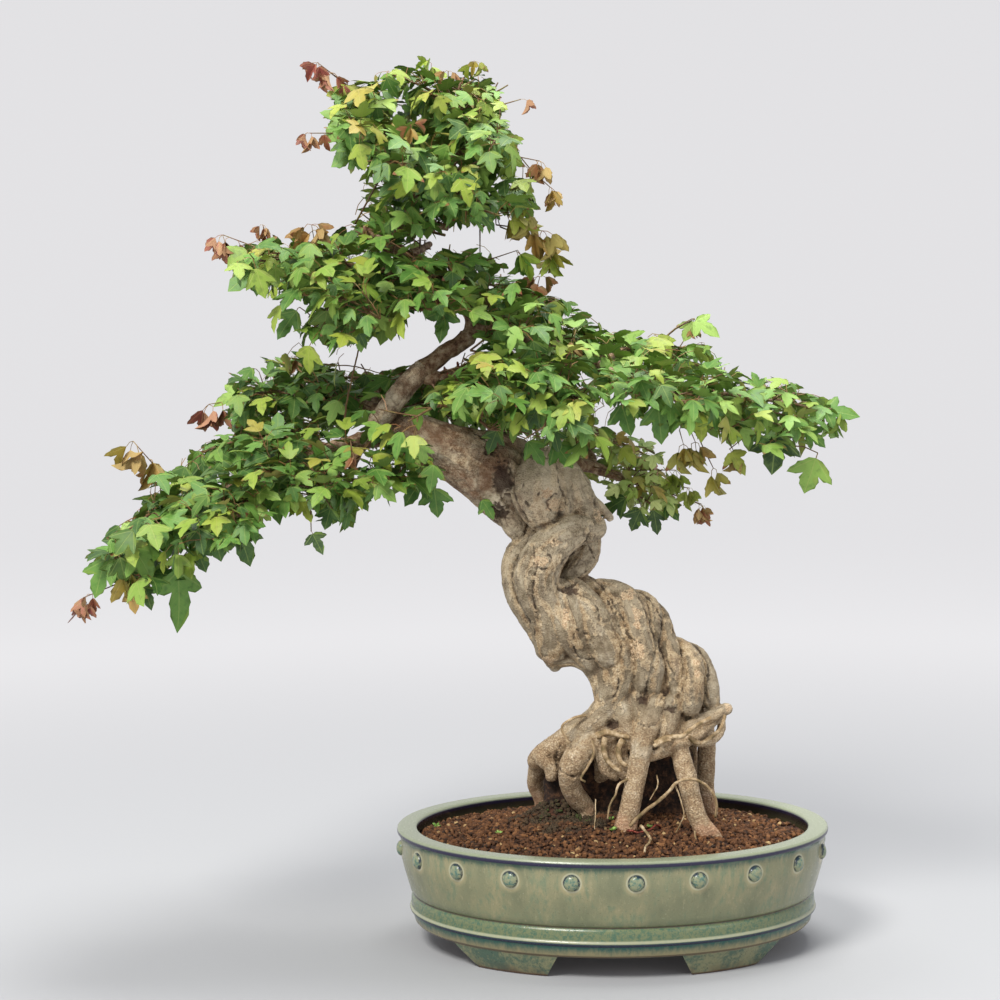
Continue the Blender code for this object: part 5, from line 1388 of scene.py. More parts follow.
def carve_bark(piece, grain):
    """Presses creases, furrows and cracks into the skin, and notes on each point what the shader needs."""
    creases = hollow_depths(piece, CREASE_ROUNDS)
    folds = hollow_depths(piece, FOLD_ROUNDS)
    lines = line_tree()
    names = ("crease", "furrow", "crack", "ridge", "line", "lip", "peeled", "hollow", "band")
    for name in names:
        piece.data.attributes.new(name, "FLOAT", "POINT")
    layers = {name: piece.data.attributes[name].data for name in names}
    moves = []
    for index, vertex in enumerate(piece.data.vertices):
        spot = (vertex.co - AXIS) / MM
        number, along, angle, radius = grain.at(spot)
        crease = clamp(creases[index] / FULL_CREASE)
        ridge = clamp(-creases[index] / FULL_RIDGE)
        furrow = furrow_at(number, along, angle, radius)
        crack = plate_share(spot) * crack_at(spot, CRACK_PITCH)
        line, lip, peeled, hollow = front_marks(spot, vertex.normal, lines)
        wrap = Vector((math.cos(angle), math.sin(angle), 0.0)) * radius / 7.0
        band = 0.5 + 0.5 * noise.noise(wrap + Vector((0, 0, along / 40.0 + number * 5.3)))
        lumps = noise.fractal(spot / 8.0, 0.9, 2.1, 4)
        specks = noise.noise(spot / 2.1)
        depth = (-CREASE_DEPTH * crease - FURROW_DEPTH * (1.0 - furrow) - PLATE_DEPTH * crack
                 - LINE_DEPTH * line + LIP_RISE * lip - PEEL_DEPTH * peeled - HOLLOW_DEPTH * hollow
                 + LUMP_DEPTH * lumps + SPECK_DEPTH * specks - FOLD_DEPTH * max(0.0, folds[index]))
        moves.append(vertex.normal * depth * MM)
        for name, amount in zip(names, (crease, furrow, crack, ridge, line, lip, peeled, hollow, band)):
            layers[name][index].value = amount
    for vertex, move in zip(piece.data.vertices, moves):
        vertex.co += move


def bark_finish():
    """Olive-grey ropes, tan and ragged where they meet, with cream peeled patches, a painted highlight on the
    ridges, and painted shade in the thin dark lines, creases, furrows, cracks and hollows.
    """
    bark = Finish("grey_tan_bark", roughness=0.84)
    here = bark.here()
    east, _, height = bark.parts(here)
    crease, furrow = bark.value("crease"), bark.value("furrow")
    broad = bark.noise(here, 36.0, detail=3.0)
    patch = bark.noise(bark.shifted(here, bark.wobble(here, 5.0), 4.0), 12.0, detail=5.0, roughness=0.68)
    speck = bark.noise(here, 1.5, detail=5.0, roughness=0.7)
    mottle = speck * 0.5 + patch * 0.5
    pebbles = bark.cells(bark.stretched(here, (1.0, 1.0, 1.35)), 2.3)
    grey = bark.between(patch * 0.6 + broad * 0.4, (0.34, 94, 80, 58), (0.45, 130, 115, 91),
                        (0.54, 158, 143, 118), (0.66, 196, 184, 162))
    grey = bark.mix(pebbles.ramp(0.34, 0.16) * broad.ramp(0.40, 0.62) * 0.45, grey, (196, 184, 152))
    tan = bark.between(mottle, (0.34, 100, 74, 48), (0.44, 146, 118, 84), (0.54, 184, 160, 124),
                       (0.66, 224, 206, 174))
    flaky = bark.value("band") + (patch - 0.5) * 0.9 + crease * 0.32 + bark.value("lip") * 0.30
    root = bark.between(mottle, (0.36, 130, 103, 74), (0.46, 178, 150, 115), (0.54, 205, 181, 147),
                        (0.64, 232, 214, 186))
    root = bark.coats(root, (pebbles.ramp(0.40, 0.66) * 0.55, (112, 84, 58)),
                      ((broad + patch * 0.5).ramp(0.74, 0.90) * height.ramp(175.0, 205.0) * 0.6, grey))
    pale = height.ramp(300.0, 400.0) * (speck * 0.6 + patch * 0.6).ramp(0.50, 0.66)
    # Painted light: the trunk's shoulder under the leaves is paled.
    shoulder_painted_light = height.ramp(420.0, 465.0) * east.ramp(-112.0, -96.0)
    # Rust-brown bark on the limb, its colours darkened as painted shade under the leaves.
    rust_and_painted_shade = height.ramp(408.0, 450.0) * east.ramp(-78.0, -100.0) * (broad + patch * 0.6).ramp(1.0, 0.66)
    peeled = bark.value("peeled").ramp(0.2, 0.8) * (patch + speck * 0.6).ramp(0.66, 0.80)
    bark.colour(bark.coats(
        grey,
        (flaky.ramp(0.52, 0.74) * 0.85, tan),
        (flaky.band(0.50, 0.555, 0.555, 0.60) * speck.ramp(0.56, 0.44) * 0.55, (74, 54, 36)),
        # Painted shade: darker down in the furrows.
        (furrow.ramp(0.5, 0.15) * 0.45, (82, 62, 44)),
        # Painted highlight: the ropes' ridges are lightened as if lit.
        (bark.value("ridge").ramp(0.1, 1.0) * 0.55, (222, 208, 184)),
        # Painted shade: darker in the creases.
        (crease.ramp(0.12, 0.55) * 0.35, (92, 66, 42)),
        # Paler and pebbly on the roots, and reddish where they go into the soil.
        (height.ramp(244.0, 200.0) * 0.85, root),
        (height.ramp(155.0, 122.0) * broad.ramp(0.40, 0.62) * 0.4, (206, 148, 116)),
        (speck.ramp(0.44, 0.28) * 0.55, (64, 48, 34)),
        (speck.ramp(0.60, 0.76) * 0.4, (220, 208, 182)),
        # Pale mottles high on the trunk; paler at its shoulder as painted light, where the leaves above shade
        # it; and rust-brown beyond it along the limb, darkened as painted shade under the leaves.
        (pale * 0.42, (210, 194, 166)),
        (shoulder_painted_light * 0.35, (224, 204, 172)),
        (rust_and_painted_shade * 0.7, bark.mix(patch, (62, 34, 17), (150, 98, 60))),
        # What was carved: cream peeled patches; creases, cracks and lines darkened as painted shade; hollows
        # from rust-brown to near black, partly painted shade.
        (peeled * 0.8, bark.mix(speck.ramp(0.3, 0.7), (160, 118, 80), (232, 208, 172))),
        (crease.ramp(0.35, 0.9) * 0.9, (36, 22, 13)),
        (bark.value("crack") * 0.5, (52, 36, 24)),
        (bark.value("line").ramp(0.25, 0.9) * 0.8, (46, 30, 18)),
        (bark.value("hollow") * 0.85, bark.mix(patch, (20, 12, 8), (74, 46, 28))),
    ))
    bark.relief(speck * 0.4 + pebbles.ramp(0.6, 0.1) * 0.3 + patch * 0.5 + flaky.ramp(0.50, 0.60) * 0.35,
                1.3, 1.1)
    return bark


def make_root_mass():
    """The dark lump of old roots and soil that fills the hollow behind the front legs, coloured near black
    partly as painted shade.
    """
    bm = bmesh.new()
    bmesh.ops.create_icosphere(bm, subdivisions=5, radius=1.0)
    for vertex in bm.verts:
        way = vertex.co.normalized()
        boxy = sum(abs(part) ** 4 for part in way) ** -0.25
        spot = Vector(MASS_CENTRE) + Vector([part * half * boxy for part, half in zip(way, MASS_HALF)])
        spot += way * (3.5 * noise.noise(spot / 15.0) + 1.6 * noise.noise(spot / 5.0)
                       + 0.7 * noise.noise(spot / 2.0))
        vertex.co = place(*spot)
    mass = Finish("root_mass_with_painted_shade", roughness=0.95)
    clods = mass.noise(mass.here(), 6.0, detail=5.0, roughness=0.7)
    # Near-black browns: partly the soil's own colour, partly painted shade.
    mass.colour(mass.between(clods, (0.38, 18, 11, 8), (0.52, 50, 32, 21), (0.66, 96, 66, 44)))
    mass.relief(clods, 1.0, 2.0)
    return dress(object_from("root_mass_with_painted_shade", bm), mass, "soil_grain", sharp=0)


def make_bark():
    """Roots, trunk and heavy limb as one skin over the fused ropes, carved with bark."""
    routes = wood_routes()
    bark = tubes("bark", [rounded(through(route, ROPE_STEP)) for route in routes], 6)
    skin = bark.modifiers.new("skin", "REMESH")
    skin.mode = "VOXEL"
    skin.voxel_size = SKIN_CELL * MM
    even = bark.modifiers.new("even", "SMOOTH")
    even.iterations = 3
    apply_modifiers(bark)
    largest_body(bark)
    bm = bmesh.new()
    bm.from_mesh(bark.data)
    bmesh.ops.bisect_plane(bm, geom=bm.verts[:] + bm.edges[:] + bm.faces[:],
                           plane_co=place(0, 0, ROOT_DEPTH), plane_no=-UP, clear_outer=True)
    bmesh.ops.holes_fill(bm, edges=[edge for edge in bm.edges if edge.is_boundary])
    bmesh.ops.recalc_face_normals(bm, faces=bm.faces)
    bm.to_mesh(bark.data)
    bm.free()
    carve_bark(bark, Grain(routes))
    fewer = bark.modifiers.new("fewer", "DECIMATE")
    fewer.ratio = KEPT_FACES
    apply_modifiers(bark)
    return dress(bark, bark_finish(), "bark", "wood", sharp=0)


def knotty(route, rng):
    """The branch's route with swellings where side shoots once grew, and a slight waver."""
    knots = [rng.uniform(*KNOT_FIRST)]
    while knots[-1] < KNOT_REACH:
        knots.append(knots[-1] + rng.uniform(*KNOT_PITCH))
    travelled = 0.0
    shaped = [Vector(route[0])]
    for before, point in zip(route, route[1:]):
        travelled += (spot_of(point) - spot_of(before)).length
        swell = sum(math.exp(-((travelled - knot) / KNOT_WIDTH) ** 2) for knot in knots)
        waver = noise.noise_vector(spot_of(point) / 14.0) * 0.13 * point[3]
        radius = point[3] * (1.0 + 0.16 * swell + 0.07 * noise.noise(spot_of(point) / 5.0))
        shaped.append(Vector((*(spot_of(point) + waver), radius)))
    return shaped


def branch_finish():
    """Young bark: brown-grey, finely cracked across, with pale specks."""
    bark = Finish("branch_bark", roughness=0.7)
    here = bark.here()
    patch = bark.noise(here, 7.0, detail=5.0, roughness=0.7)
    speck = bark.noise(here, 1.2, detail=4.0, roughness=0.7)
    brown = bark.between(patch, (0.34, 78, 48, 32), (0.46, 126, 94, 68), (0.56, 160, 134, 106),
                         (0.70, 196, 176, 148))
    bark.colour(bark.coats(brown, (speck.ramp(0.46, 0.3) * 0.6, (70, 48, 34)),
                           (speck.ramp(0.6, 0.74) * 0.4, (202, 188, 164))))
    bark.relief(patch * 0.5 + speck * 0.5, 0.5, 0.8)
    return bark


def make_branches():
    rng = random.Random(8)
    routes = [knotty(through(route, BRANCH_STEP), rng) for route in BRANCHES.values()]
    return dress(tubes("branches", routes, 3), branch_finish(), "bark", sharp=0)


# Leaves: half of a blade's outline as (across, along) shares of its length, from stalk to tip.
BLADE_HALF = ((0.0, 0.0), (0.18, 0.05), (0.30, 0.17), (0.43, 0.27), (0.46, 0.36), (0.56, 0.47), (0.60, 0.60),
              (0.46, 0.57), (0.37, 0.57), (0.20, 0.46), (0.265, 0.62), (0.225, 0.69), (0.215, 0.80),
              (0.12, 0.88), (0.0, 1.0))
BLADE_LOBE = (0.60, 0.60)
STALK_WIDTH = 0.016
UNDERSIDE_SHIFT = 4.0


def blade_sheet(rng):
    """A flat three-lobed blade, cut along its veins so that it can bend. Its chart runs with the lobes."""
    bm = bmesh.new()
    lobe_stretch = rng.uniform(0.80, 1.08)
    swing = rng.uniform(-0.5, 0.0)
    tip_stretch = rng.uniform(0.92, 1.1)
    outline = []
    for hand in (1, -1):
        side = []
        for across, along in BLADE_HALF:
            jitter = rng.uniform(-0.018, 0.018) if 0.0 < across else 0.0
            along_now = along * (tip_stretch if along > 0.6 else 1.0) + jitter
            side.append((hand * across * lobe_stretch * (1.0 + jitter), along_now))
        outline.append(side)
    ring = outline[0] + outline[1][-2:0:-1]
    bm.faces.new([bm.verts.new((across, along, 0.0)) for across, along in ring])
    lobe = Vector((BLADE_LOBE[0] * lobe_stretch, BLADE_LOBE[1], 0.0))
    cuts = [((0, 0, 0), (1, 0, 0)), ((0, 0.001, 0), (lobe.y, -lobe.x, 0)),
            ((0, 0.001, 0), (lobe.y, lobe.x, 0)), ((0, 0.40, 0), (0, 1, 0)), ((0, 0.70, 0), (0, 1, 0))]
    for spot, normal in cuts:
        bmesh.ops.bisect_plane(bm, geom=bm.verts[:] + bm.edges[:] + bm.faces[:], dist=0.004,
                               plane_co=spot, plane_no=Vector(normal).normalized())
    chart = bm.loops.layers.uv.new("leaf")
    for face in bm.faces:
        for loop in face.loops:
            loop[chart].uv = (loop.vert.co.x / lobe_stretch, loop.vert.co.y)
    for vertex in bm.verts:
        vertex.co.y += swing * abs(vertex.co.x)
    return bm, chart


def leaf_kind(rng, droop, folded=0.0, curl=0.7, stalk=0.0):
    """One leaf, a blade one unit long on its stalk, from the stalk's foot along +Y, as a mesh."""
    bm, chart = blade_sheet(rng)
    inner = [vertex for vertex in bm.verts if not vertex.is_boundary]
    made = bmesh.ops.duplicate(bm, geom=bm.verts[:] + bm.edges[:] + bm.faces[:])["geom"]
    lower_faces = only(bmesh.types.BMFace, made)
    lower_inner = [vertex for vertex in only(bmesh.types.BMVert, made) if not vertex.is_boundary]
    bmesh.ops.reverse_faces(bm, faces=lower_faces)
    for face in lower_faces:
        for loop in face.loops:
            loop[chart].uv.x += UNDERSIDE_SHIFT
    bmesh.ops.translate(bm, vec=(0, 0, LEAF_THICKNESS / 2), verts=inner)
    bmesh.ops.translate(bm, vec=(0, 0, -LEAF_THICKNESS / 2), verts=lower_inner)
    bmesh.ops.remove_doubles(bm, verts=bm.verts, dist=1e-5)
    fold = rng.uniform(0.10, 0.34) + folded
    lobe_curl = rng.uniform(0.1, 0.55)
    curl = rng.uniform(0.1, curl)
    twist = rng.uniform(-0.25, 0.25)
    stalk = stalk or rng.uniform(0.4, 0.8)
    for vertex in bm.verts:
        x, y, z = vertex.co
        lift = fold * abs(x) - lobe_curl * x * x + 0.03 * math.sin(9.0 * y + 4.0 * x) * abs(x)
        z += lift + twist * x * y
        x *= math.cos(min(1.2, fold * 0.8))
        bend = droop + curl * y * 0.5
        vertex.co = (x, stalk + y * math.cos(bend) + z * math.sin(bend),
                     z * math.cos(bend) - y * math.sin(bend))
    add_stalk(bm, chart, stalk, rng.uniform(0.02, 0.10))
    mesh = bpy.data.meshes.new("leaf_kind")
    bm.to_mesh(mesh)
    bm.free()
    return mesh, stalk, droop


def add_stalk(bm, chart, length, arch):
    """A thin three-sided stalk from the origin to the blade's base, arched a little upwards."""
    made = bmesh.ops.create_circle(bm, segments=3, radius=STALK_WIDTH,
                                   matrix=Matrix.Rotation(math.radians(90), 4, "X"))
    edges = list({edge for vertex in made["verts"] for edge in vertex.link_edges})
    steps = 2
    for step in range(1, steps + 1):
        grown = bmesh.ops.extrude_edge_only(bm, edges=edges)["geom"]
        edges = only(bmesh.types.BMEdge, grown)
        rise = arch * (math.sin(math.pi * step / steps) - math.sin(math.pi * (step - 1) / steps))
        bmesh.ops.translate(bm, vec=(0, length / steps, rise), verts=only(bmesh.types.BMVert, grown))
        for face in only(bmesh.types.BMFace, grown):
            for loop in face.loops:
                loop[chart].uv = (-UNDERSIDE_SHIFT, step / steps)
    bmesh.ops.recalc_face_normals(bm, faces=[face for face in bm.faces
                                             if face.loops[0][chart].uv.x < -UNDERSIDE_SHIFT / 2])


def leaf_finish():
    """Maple leaves: green with pale veins, yellow-green and bronze when young, brown at some edges."""
    leaf = Finish("maple_leaf", roughness=0.5)
    across, along, _ = leaf.parts(leaf.chart("leaf"))
    under = across.ramp(1.9, 2.1)
    stalk = across.ramp(-1.9, -2.1)
    across = (across - under * UNDERSIDE_SHIFT).size()
    tone, age, brown = leaf.value("leaf_tone"), leaf.value("leaf_age"), leaf.value("leaf_brown")
    blotch = leaf.noise(leaf.here(), 7.0, detail=3.0)
    mature = leaf.between(tone * (1.0 / PALEST), (0.0, 34, 60, 20), (0.24, 54, 92, 32), (0.44, 78, 122, 44),
                          (0.6, 106, 150, 64), (0.8, 152, 186, 92), (1.0, 214, 226, 148))
    young = leaf.between(age, (0.0, 116, 152, 50), (0.3, 146, 164, 56), (0.55, 164, 138, 64),
                         (0.8, 164, 106, 80), (1.0, 140, 74, 68))
    middle_vein = across.ramp(0.022, 0.006) * along.ramp(1.02, 0.9)
    slope = BLADE_LOBE[1] / BLADE_LOBE[0]
    lobe_vein = (along - across * slope).size().ramp(0.03, 0.008) * across.ramp(0.58, 0.5)
    ribs = (((along - across * 1.1) * 9.0).fraction() - 0.5).size().ramp(0.42, 0.5) * 0.4
    veins = middle_vein.most(lobe_vein).most(ribs)
    edge = (across * 1.2 + (along - 0.35).size() * 0.9).ramp(0.62, 0.8)
    leaf.colour(leaf.coats(
        mature,
        (age.ramp(0.0, 0.25), young),
        (blotch.ramp(0.45, 0.7) * 0.2, (128, 150, 76)),
        (blotch.ramp(0.5, 0.3) * 0.35, (34, 60, 22)),
        (veins * 0.34, leaf.mix(age, (156, 176, 92), (200, 140, 100))),
        # Paler undersides: partly the leaves' own paler backs, partly painted light for light coming through
        # the leaf.
        (under * 0.6, leaf.mix(age, (122, 150, 60), (176, 138, 104))),
        (brown * edge, (126, 66, 44)),
        (stalk, leaf.mix(tone, (128, 70, 50), (142, 124, 64))),
    ))
    leaf.rough(0.46 + 0.16 * blotch + 0.2 * under)
    leaf.relief(1.0 - veins, 0.25, 0.5)
    return leaf


def nearest_on(twigs, place_now):
    """The point of these twigs that is nearest to a place."""
    return min((spot_of(point) for twig in twigs for point in twig),
               key=lambda spot: (spot - place_now).length)


class Foliage:
    """The leaves of one spray and the thin shoots that bear them."""

    taken = {}

    def __init__(self, name, kinds, young_kinds, flat_kinds, seed):
        self.name = name
        self.kinds = kinds
        self.young_kinds = young_kinds
        self.flat_kinds = flat_kinds
        self.rng = random.Random(seed)
        self.bm = bmesh.new()
        self.layers = [self.bm.verts.layers.float.new(layer)
                       for layer in ("leaf_tone", "leaf_age", "leaf_brown")]
        self.bm.loops.layers.uv.new("leaf")
        self.shoots = []
        self.leaves = 0
        _, _, _, self.tone, self.room = GROWTH.get(name, DEFAULT_GROWTH)

    def crowded(self, spot, room):
        """True if another blade's middle is too near. Otherwise the spot is taken."""
        cell = tuple(math.floor(part / CROWD_CELL) for part in spot)
        for shift in product((-1, 0, 1), repeat=3):
            near = tuple(part + step for part, step in zip(cell, shift))
            if any((other - spot).length < room for other in Foliage.taken.get(near, ())):
                return True
        Foliage.taken.setdefault(cell, []).append(spot)
        return False

    def leaf(self, where, outward, length, age=0.0, kinds=None, tone=None, facing=UP, free=False,
             roll=None):
        """One leaf on its stalk outward from where, unless it would be crowded or show where none does."""
        rng = self.rng
        mesh, stalk, droop = rng.choice(kinds or self.kinds)
        outward = outward.normalized()
        across = outward.cross(facing)
        if across.length < 0.2:
            across = Vector((1, 0, 0))
        across = across.normalized()
        over = across.cross(outward)
        turn = Matrix((across, outward, over)).transposed()
        frame_now = turn @ Matrix.Rotation(rng.gauss(0, LEAF_ROLL) if roll is None else roll, 3, "Y")
        middle = Vector((0, stalk + 0.45 * math.cos(droop), -0.45 * math.sin(droop)))
        centre = Vector(where) + frame_now @ middle * length
        if not in_box(centre, length * 0.55) or not (free or grows_here(centre)):
            return False
        if not free and self.crowded(centre, LEAF_SPACING * self.room * length / LEAF_LENGTH):
            return False
        before = len(self.bm.verts)
        self.bm.from_mesh(mesh)
        self.bm.verts.ensure_lookup_table()
        fresh = self.bm.verts[before:]
        matrix = Matrix.Translation(place(*where)) @ frame_now.to_4x4() @ Matrix.Scale(length * MM, 4)
        bmesh.ops.transform(self.bm, matrix=matrix, verts=fresh)
        amounts = (clamp(rng.gauss(self.tone, TONE_SPREAD), PALEST) if tone is None else tone,
                   clamp(age), max(0.0, rng.uniform(-3.0, 1.0)))
        for vertex in fresh:
            for layer, amount in zip(self.layers, amounts):
                vertex[layer] = amount
        self.leaves += 1
        return True

    def shoot(self, start, direction, length, size, freshness):
        """A side shoot with opposite pairs of leaves and one or two at its tip."""
        rng = self.rng
        direction = direction.normalized()
        bend = Vector((rng.uniform(-0.3, 0.3), rng.uniform(-0.3, 0.3), rng.uniform(-0.5, 0.25)))
        steps = 4
        route = []
        for step in range(steps + 1):
            share = step / steps
            spot = Vector(start) + (direction * share + bend * share * share * 0.5) * length
            route.append(Vector((*spot, 0.9 - 0.4 * share)))
        before = self.leaves
        pairs = max(1, round(length / PAIR_PITCH))
        quarter = rng.uniform(-0.4, 0.4)
        for number in range(pairs + 1):
            share = (number + 0.6) / (pairs + 0.6)
            index = min(steps - 1, int(share * steps))
            spot = spot_of(route[index]).lerp(spot_of(route[index + 1]), share * steps - index)
            ahead = (spot_of(route[index + 1]) - spot_of(route[index])).normalized()
            side = ahead.cross(UP)
            side = side.normalized() if side.length > 0.1 else Vector((1, 0, 0))
            lift = ahead.cross(side)
            turn = quarter + (math.pi / 2 if number % 2 else 0.0) * rng.uniform(0.5, 1.0)
            for hand in (-1, 1):
                aside = side * math.cos(turn) * hand - lift * math.sin(turn) * hand
                outward = aside + ahead * rng.uniform(0.35, 1.1) + UP * rng.uniform(-0.1, 0.35)
                age = freshness * share + rng.uniform(-0.4, 0.1)
                shrink = 1.0 - 0.25 * share * freshness
                self.leaf(spot, outward, size * shrink * rng.uniform(0.6, 1.25), age)
        tip = spot_of(route[-1])
        self.leaf(tip, direction + bend * 0.6, size * rng.uniform(0.8, 1.15),
                  freshness + rng.uniform(-0.2, 0.2))
        if self.leaves > before:
            self.shoots.append(clipped(route) or route[:3])

    def join(self, foot, twigs):
        """A thin shoot from the nearest point of the twigs to the foot of something that hangs free."""
        nearest = nearest_on(twigs, foot)
        if (nearest - foot).length > 2.0:
            middle = nearest.lerp(foot, 0.5) + UP * 2.5
            self.shoots.append([Vector((*nearest, 0.75)), Vector((*middle, 0.6)), Vector((*foot, 0.5))])

    def tip_cluster(self, twigs, start, end, depth, size, age, count):
        """A shoot between two pixels of the photograph, tipped with folded young leaves that hang."""
        rng = self.rng
        low, high = from_photo(*start, depth), from_photo(*end, depth - 4.0)
        self.join(low, twigs)
        route = [Vector((*low.lerp(high, share), 0.75 - 0.35 * share)) for share in (0.0, 0.35, 0.7, 1.0)]
        self.shoots.append(route)
        along = (high - low).normalized()
        for number in range(count):
            angle = 2 * math.pi * (number + rng.uniform(0.0, 0.5)) / max(2, count)
            aside = Vector((math.cos(angle), -0.6 + 0.5 * math.sin(angle), rng.uniform(-1.5, -0.3)))
            share = 1.0 if number < 3 else rng.uniform(0.55, 0.95)
            self.leaf(low.lerp(high, share), aside + along * rng.uniform(0.2, 0.8),
                      size * rng.uniform(0.8, 1.15), age + rng.uniform(-0.12, 0.12),
                      self.young_kinds, free=True)

    def single_leaf(self, twigs, start, end, depth, age, tone, roll=0.0):
        """One leaf that shows its face, from its blade's base to its tip in the photograph."""
        base, tip = from_photo(*start, depth), from_photo(*end, depth - 6.0)
        direction = tip - base
        length = direction.length / 0.97
        foot = base - direction.normalized() * length * FLAT_STALK
        self.join(foot, twigs)
        self.leaf(foot, direction, length, age, self.flat_kinds, tone, Vector((0.1, -1.0, 0.75)),
                  True, roll)

    def clothe(self, route, size, freshness, pitch=SHOOT_PITCH, reach=1.0):
        """Side shoots by turns along both sides of a twig and now and then on top."""
        rng = self.rng
        travelled = rng.uniform(0, pitch)
        for before, point in zip(route, route[1:]):
            start, end = spot_of(before), spot_of(point)
            length = (end - start).length
            ahead = (end - start).normalized()
            side = ahead.cross(UP).normalized()
            while travelled < length:
                where = start.lerp(end, travelled / length)
                for hand in (-1, 1):
                    outward = (side * hand + ahead * rng.uniform(0.1, 0.9) + UP * rng.uniform(-0.25, 0.6))
                    self.shoot(where, outward, rng.uniform(*SHOOT_LENGTH) * reach, size, freshness)
                if rng.random() < 0.5:
                    outward = ahead * rng.uniform(0.0, 0.8) + UP + side * rng.uniform(-0.5, 0.5)
                    self.shoot(where, outward, rng.uniform(*TOP_SHOOT) * reach, size * 0.9,
                               freshness + TIP_FRESHNESS)
                travelled += pitch * rng.uniform(0.75, 1.25)
            travelled -= length
        tip = spot_of(route[-1])
        ahead = (tip - spot_of(route[-2])).normalized()
        self.shoot(tip, ahead, TIP_SHOOT, size, freshness + TIP_FRESHNESS)

    def piece(self, finish):
        made = object_from(f"foliage_{self.name}", self.bm, outward=False)
        return dress(made, finish, "leaf", f"spray_{self.name}", sharp=50)


def in_box(spot, reach):
    """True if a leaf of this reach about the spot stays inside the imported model's box."""
    here = place(*spot)
    margin = (reach - BOX_MARGIN) * MM
    return all(cad_low[axis] + margin < here[axis] < cad_high[axis] - margin for axis in range(3))


# Where the photograph shows leaves: outlines of the middles of the leaves, in its pixels.
LEAFY = {
    "apex": ((336, 92), (354, 96), (362, 80), (386, 74), (428, 68), (470, 74), (492, 86), (504, 104),
             (500, 128), (512, 150), (530, 180), (536, 214), (506, 212), (496, 222), (468, 226), (440, 222),
             (428, 232), (402, 240), (380, 236), (366, 222), (374, 196), (364, 168), (350, 152), (336, 152),
             (340, 136), (336, 120)),
    "middle": ((232, 276), (244, 254), (264, 240), (318, 240), (346, 236), (358, 226), (372, 232),
               (390, 232), (412, 248), (430, 260), (446, 252), (470, 252), (490, 264), (512, 284), (540, 292),
               (564, 302), (572, 322), (520, 330), (480, 306), (452, 306), (442, 330), (428, 312),
               (412, 300), (402, 322), (390, 338), (372, 326), (364, 346), (340, 346), (322, 340),
               (300, 336), (272, 334), (274, 296), (250, 290)),
    "right": ((462, 312), (492, 300), (530, 298), (566, 302), (590, 328), (620, 336), (664, 344), (700, 348),
              (724, 360), (748, 376), (780, 378), (802, 392), (838, 410), (816, 430), (802, 446), (776, 452),
              (744, 440), (716, 432), (690, 424), (662, 424), (634, 414), (604, 396), (594, 402), (588, 418),
              (560, 440), (536, 450), (518, 436), (498, 420), (470, 412), (440, 402), (432, 380), (470, 366),
              (486, 350), (478, 330)),
    "back_left": ((238, 376), (262, 360), (296, 356), (320, 360), (346, 376), (380, 376), (408, 372),
                  (420, 400), (404, 424), (366, 436), (240, 436), (232, 404)),
    "low_left": ((150, 486), (182, 464), (208, 444), (238, 430), (280, 420), (330, 424), (372, 430),
                 (402, 436), (428, 446), (436, 462), (432, 486), (404, 486), (376, 498), (358, 518),
                 (340, 522), (322, 522), (300, 506), (280, 508), (262, 516), (250, 540), (226, 544),
                 (196, 548), (184, 580), (166, 594), (136, 592), (112, 574), (98, 552), (104, 536),
                 (136, 524), (152, 506)),
    "back_right": ((562, 424), (590, 424), (612, 434), (648, 442), (664, 462), (684, 482), (674, 504),
                   (654, 518), (630, 520), (604, 510), (592, 486), (574, 468)),
    "behind_limb": ((404, 376), (500, 400), (540, 438), (500, 434), (450, 424), (406, 416)),
}
# Wood and sky that the photograph shows clear of leaves. Wood is kept clear only in front of the depth.
CLEAR_WOOD = {
    "turned_branch": ((362, 428), (372, 404), (408, 366), (432, 356), (452, 372), (424, 400), (396, 432)),
    "limb": ((404, 398), (470, 416), (540, 440), (540, 540), (480, 520), (446, 480), (440, 440)),
    "trunk": ((500, 462), (740, 462), (740, 860), (500, 860)),
    "upper_bend": ((424, 366), (452, 342), (466, 318), (488, 322), (480, 346), (448, 372)),
}
CLEAR_SKY = {
    "under_middle": ((398, 340), (428, 334), (452, 332), (452, 344), (420, 358), (384, 350)),
    "beside_trunk": ((486, 234), (520, 230), (536, 262), (524, 268), (500, 250)),
}
WOOD_FRONT = 30.0


def inside_outline(outline, across, down):
    """True if the pixel is inside the closed outline."""
    inside = False
    for (x1, y1), (x2, y2) in zip(outline, outline[1:] + outline[:1]):
        if (y1 > down) != (y2 > down) and across < x1 + (down - y1) / (y2 - y1) * (x2 - x1):
            inside = not inside
    return inside


def shows_in(outlines, spot):
    """True if the spot shows inside any of these outlines in the photograph."""
    across, down = seen_at(spot)
    return any(inside_outline(outline, across, down) for outline in outlines.values())


def grows_here(spot):
    """True if the photograph shows leaves where this spot shows, and no bare wood behind it."""
    if not shows_in(LEAFY, spot) or shows_in(CLEAR_SKY, spot):
        return False
    return spot.y > WOOD_FRONT or not shows_in(CLEAR_WOOD, spot)


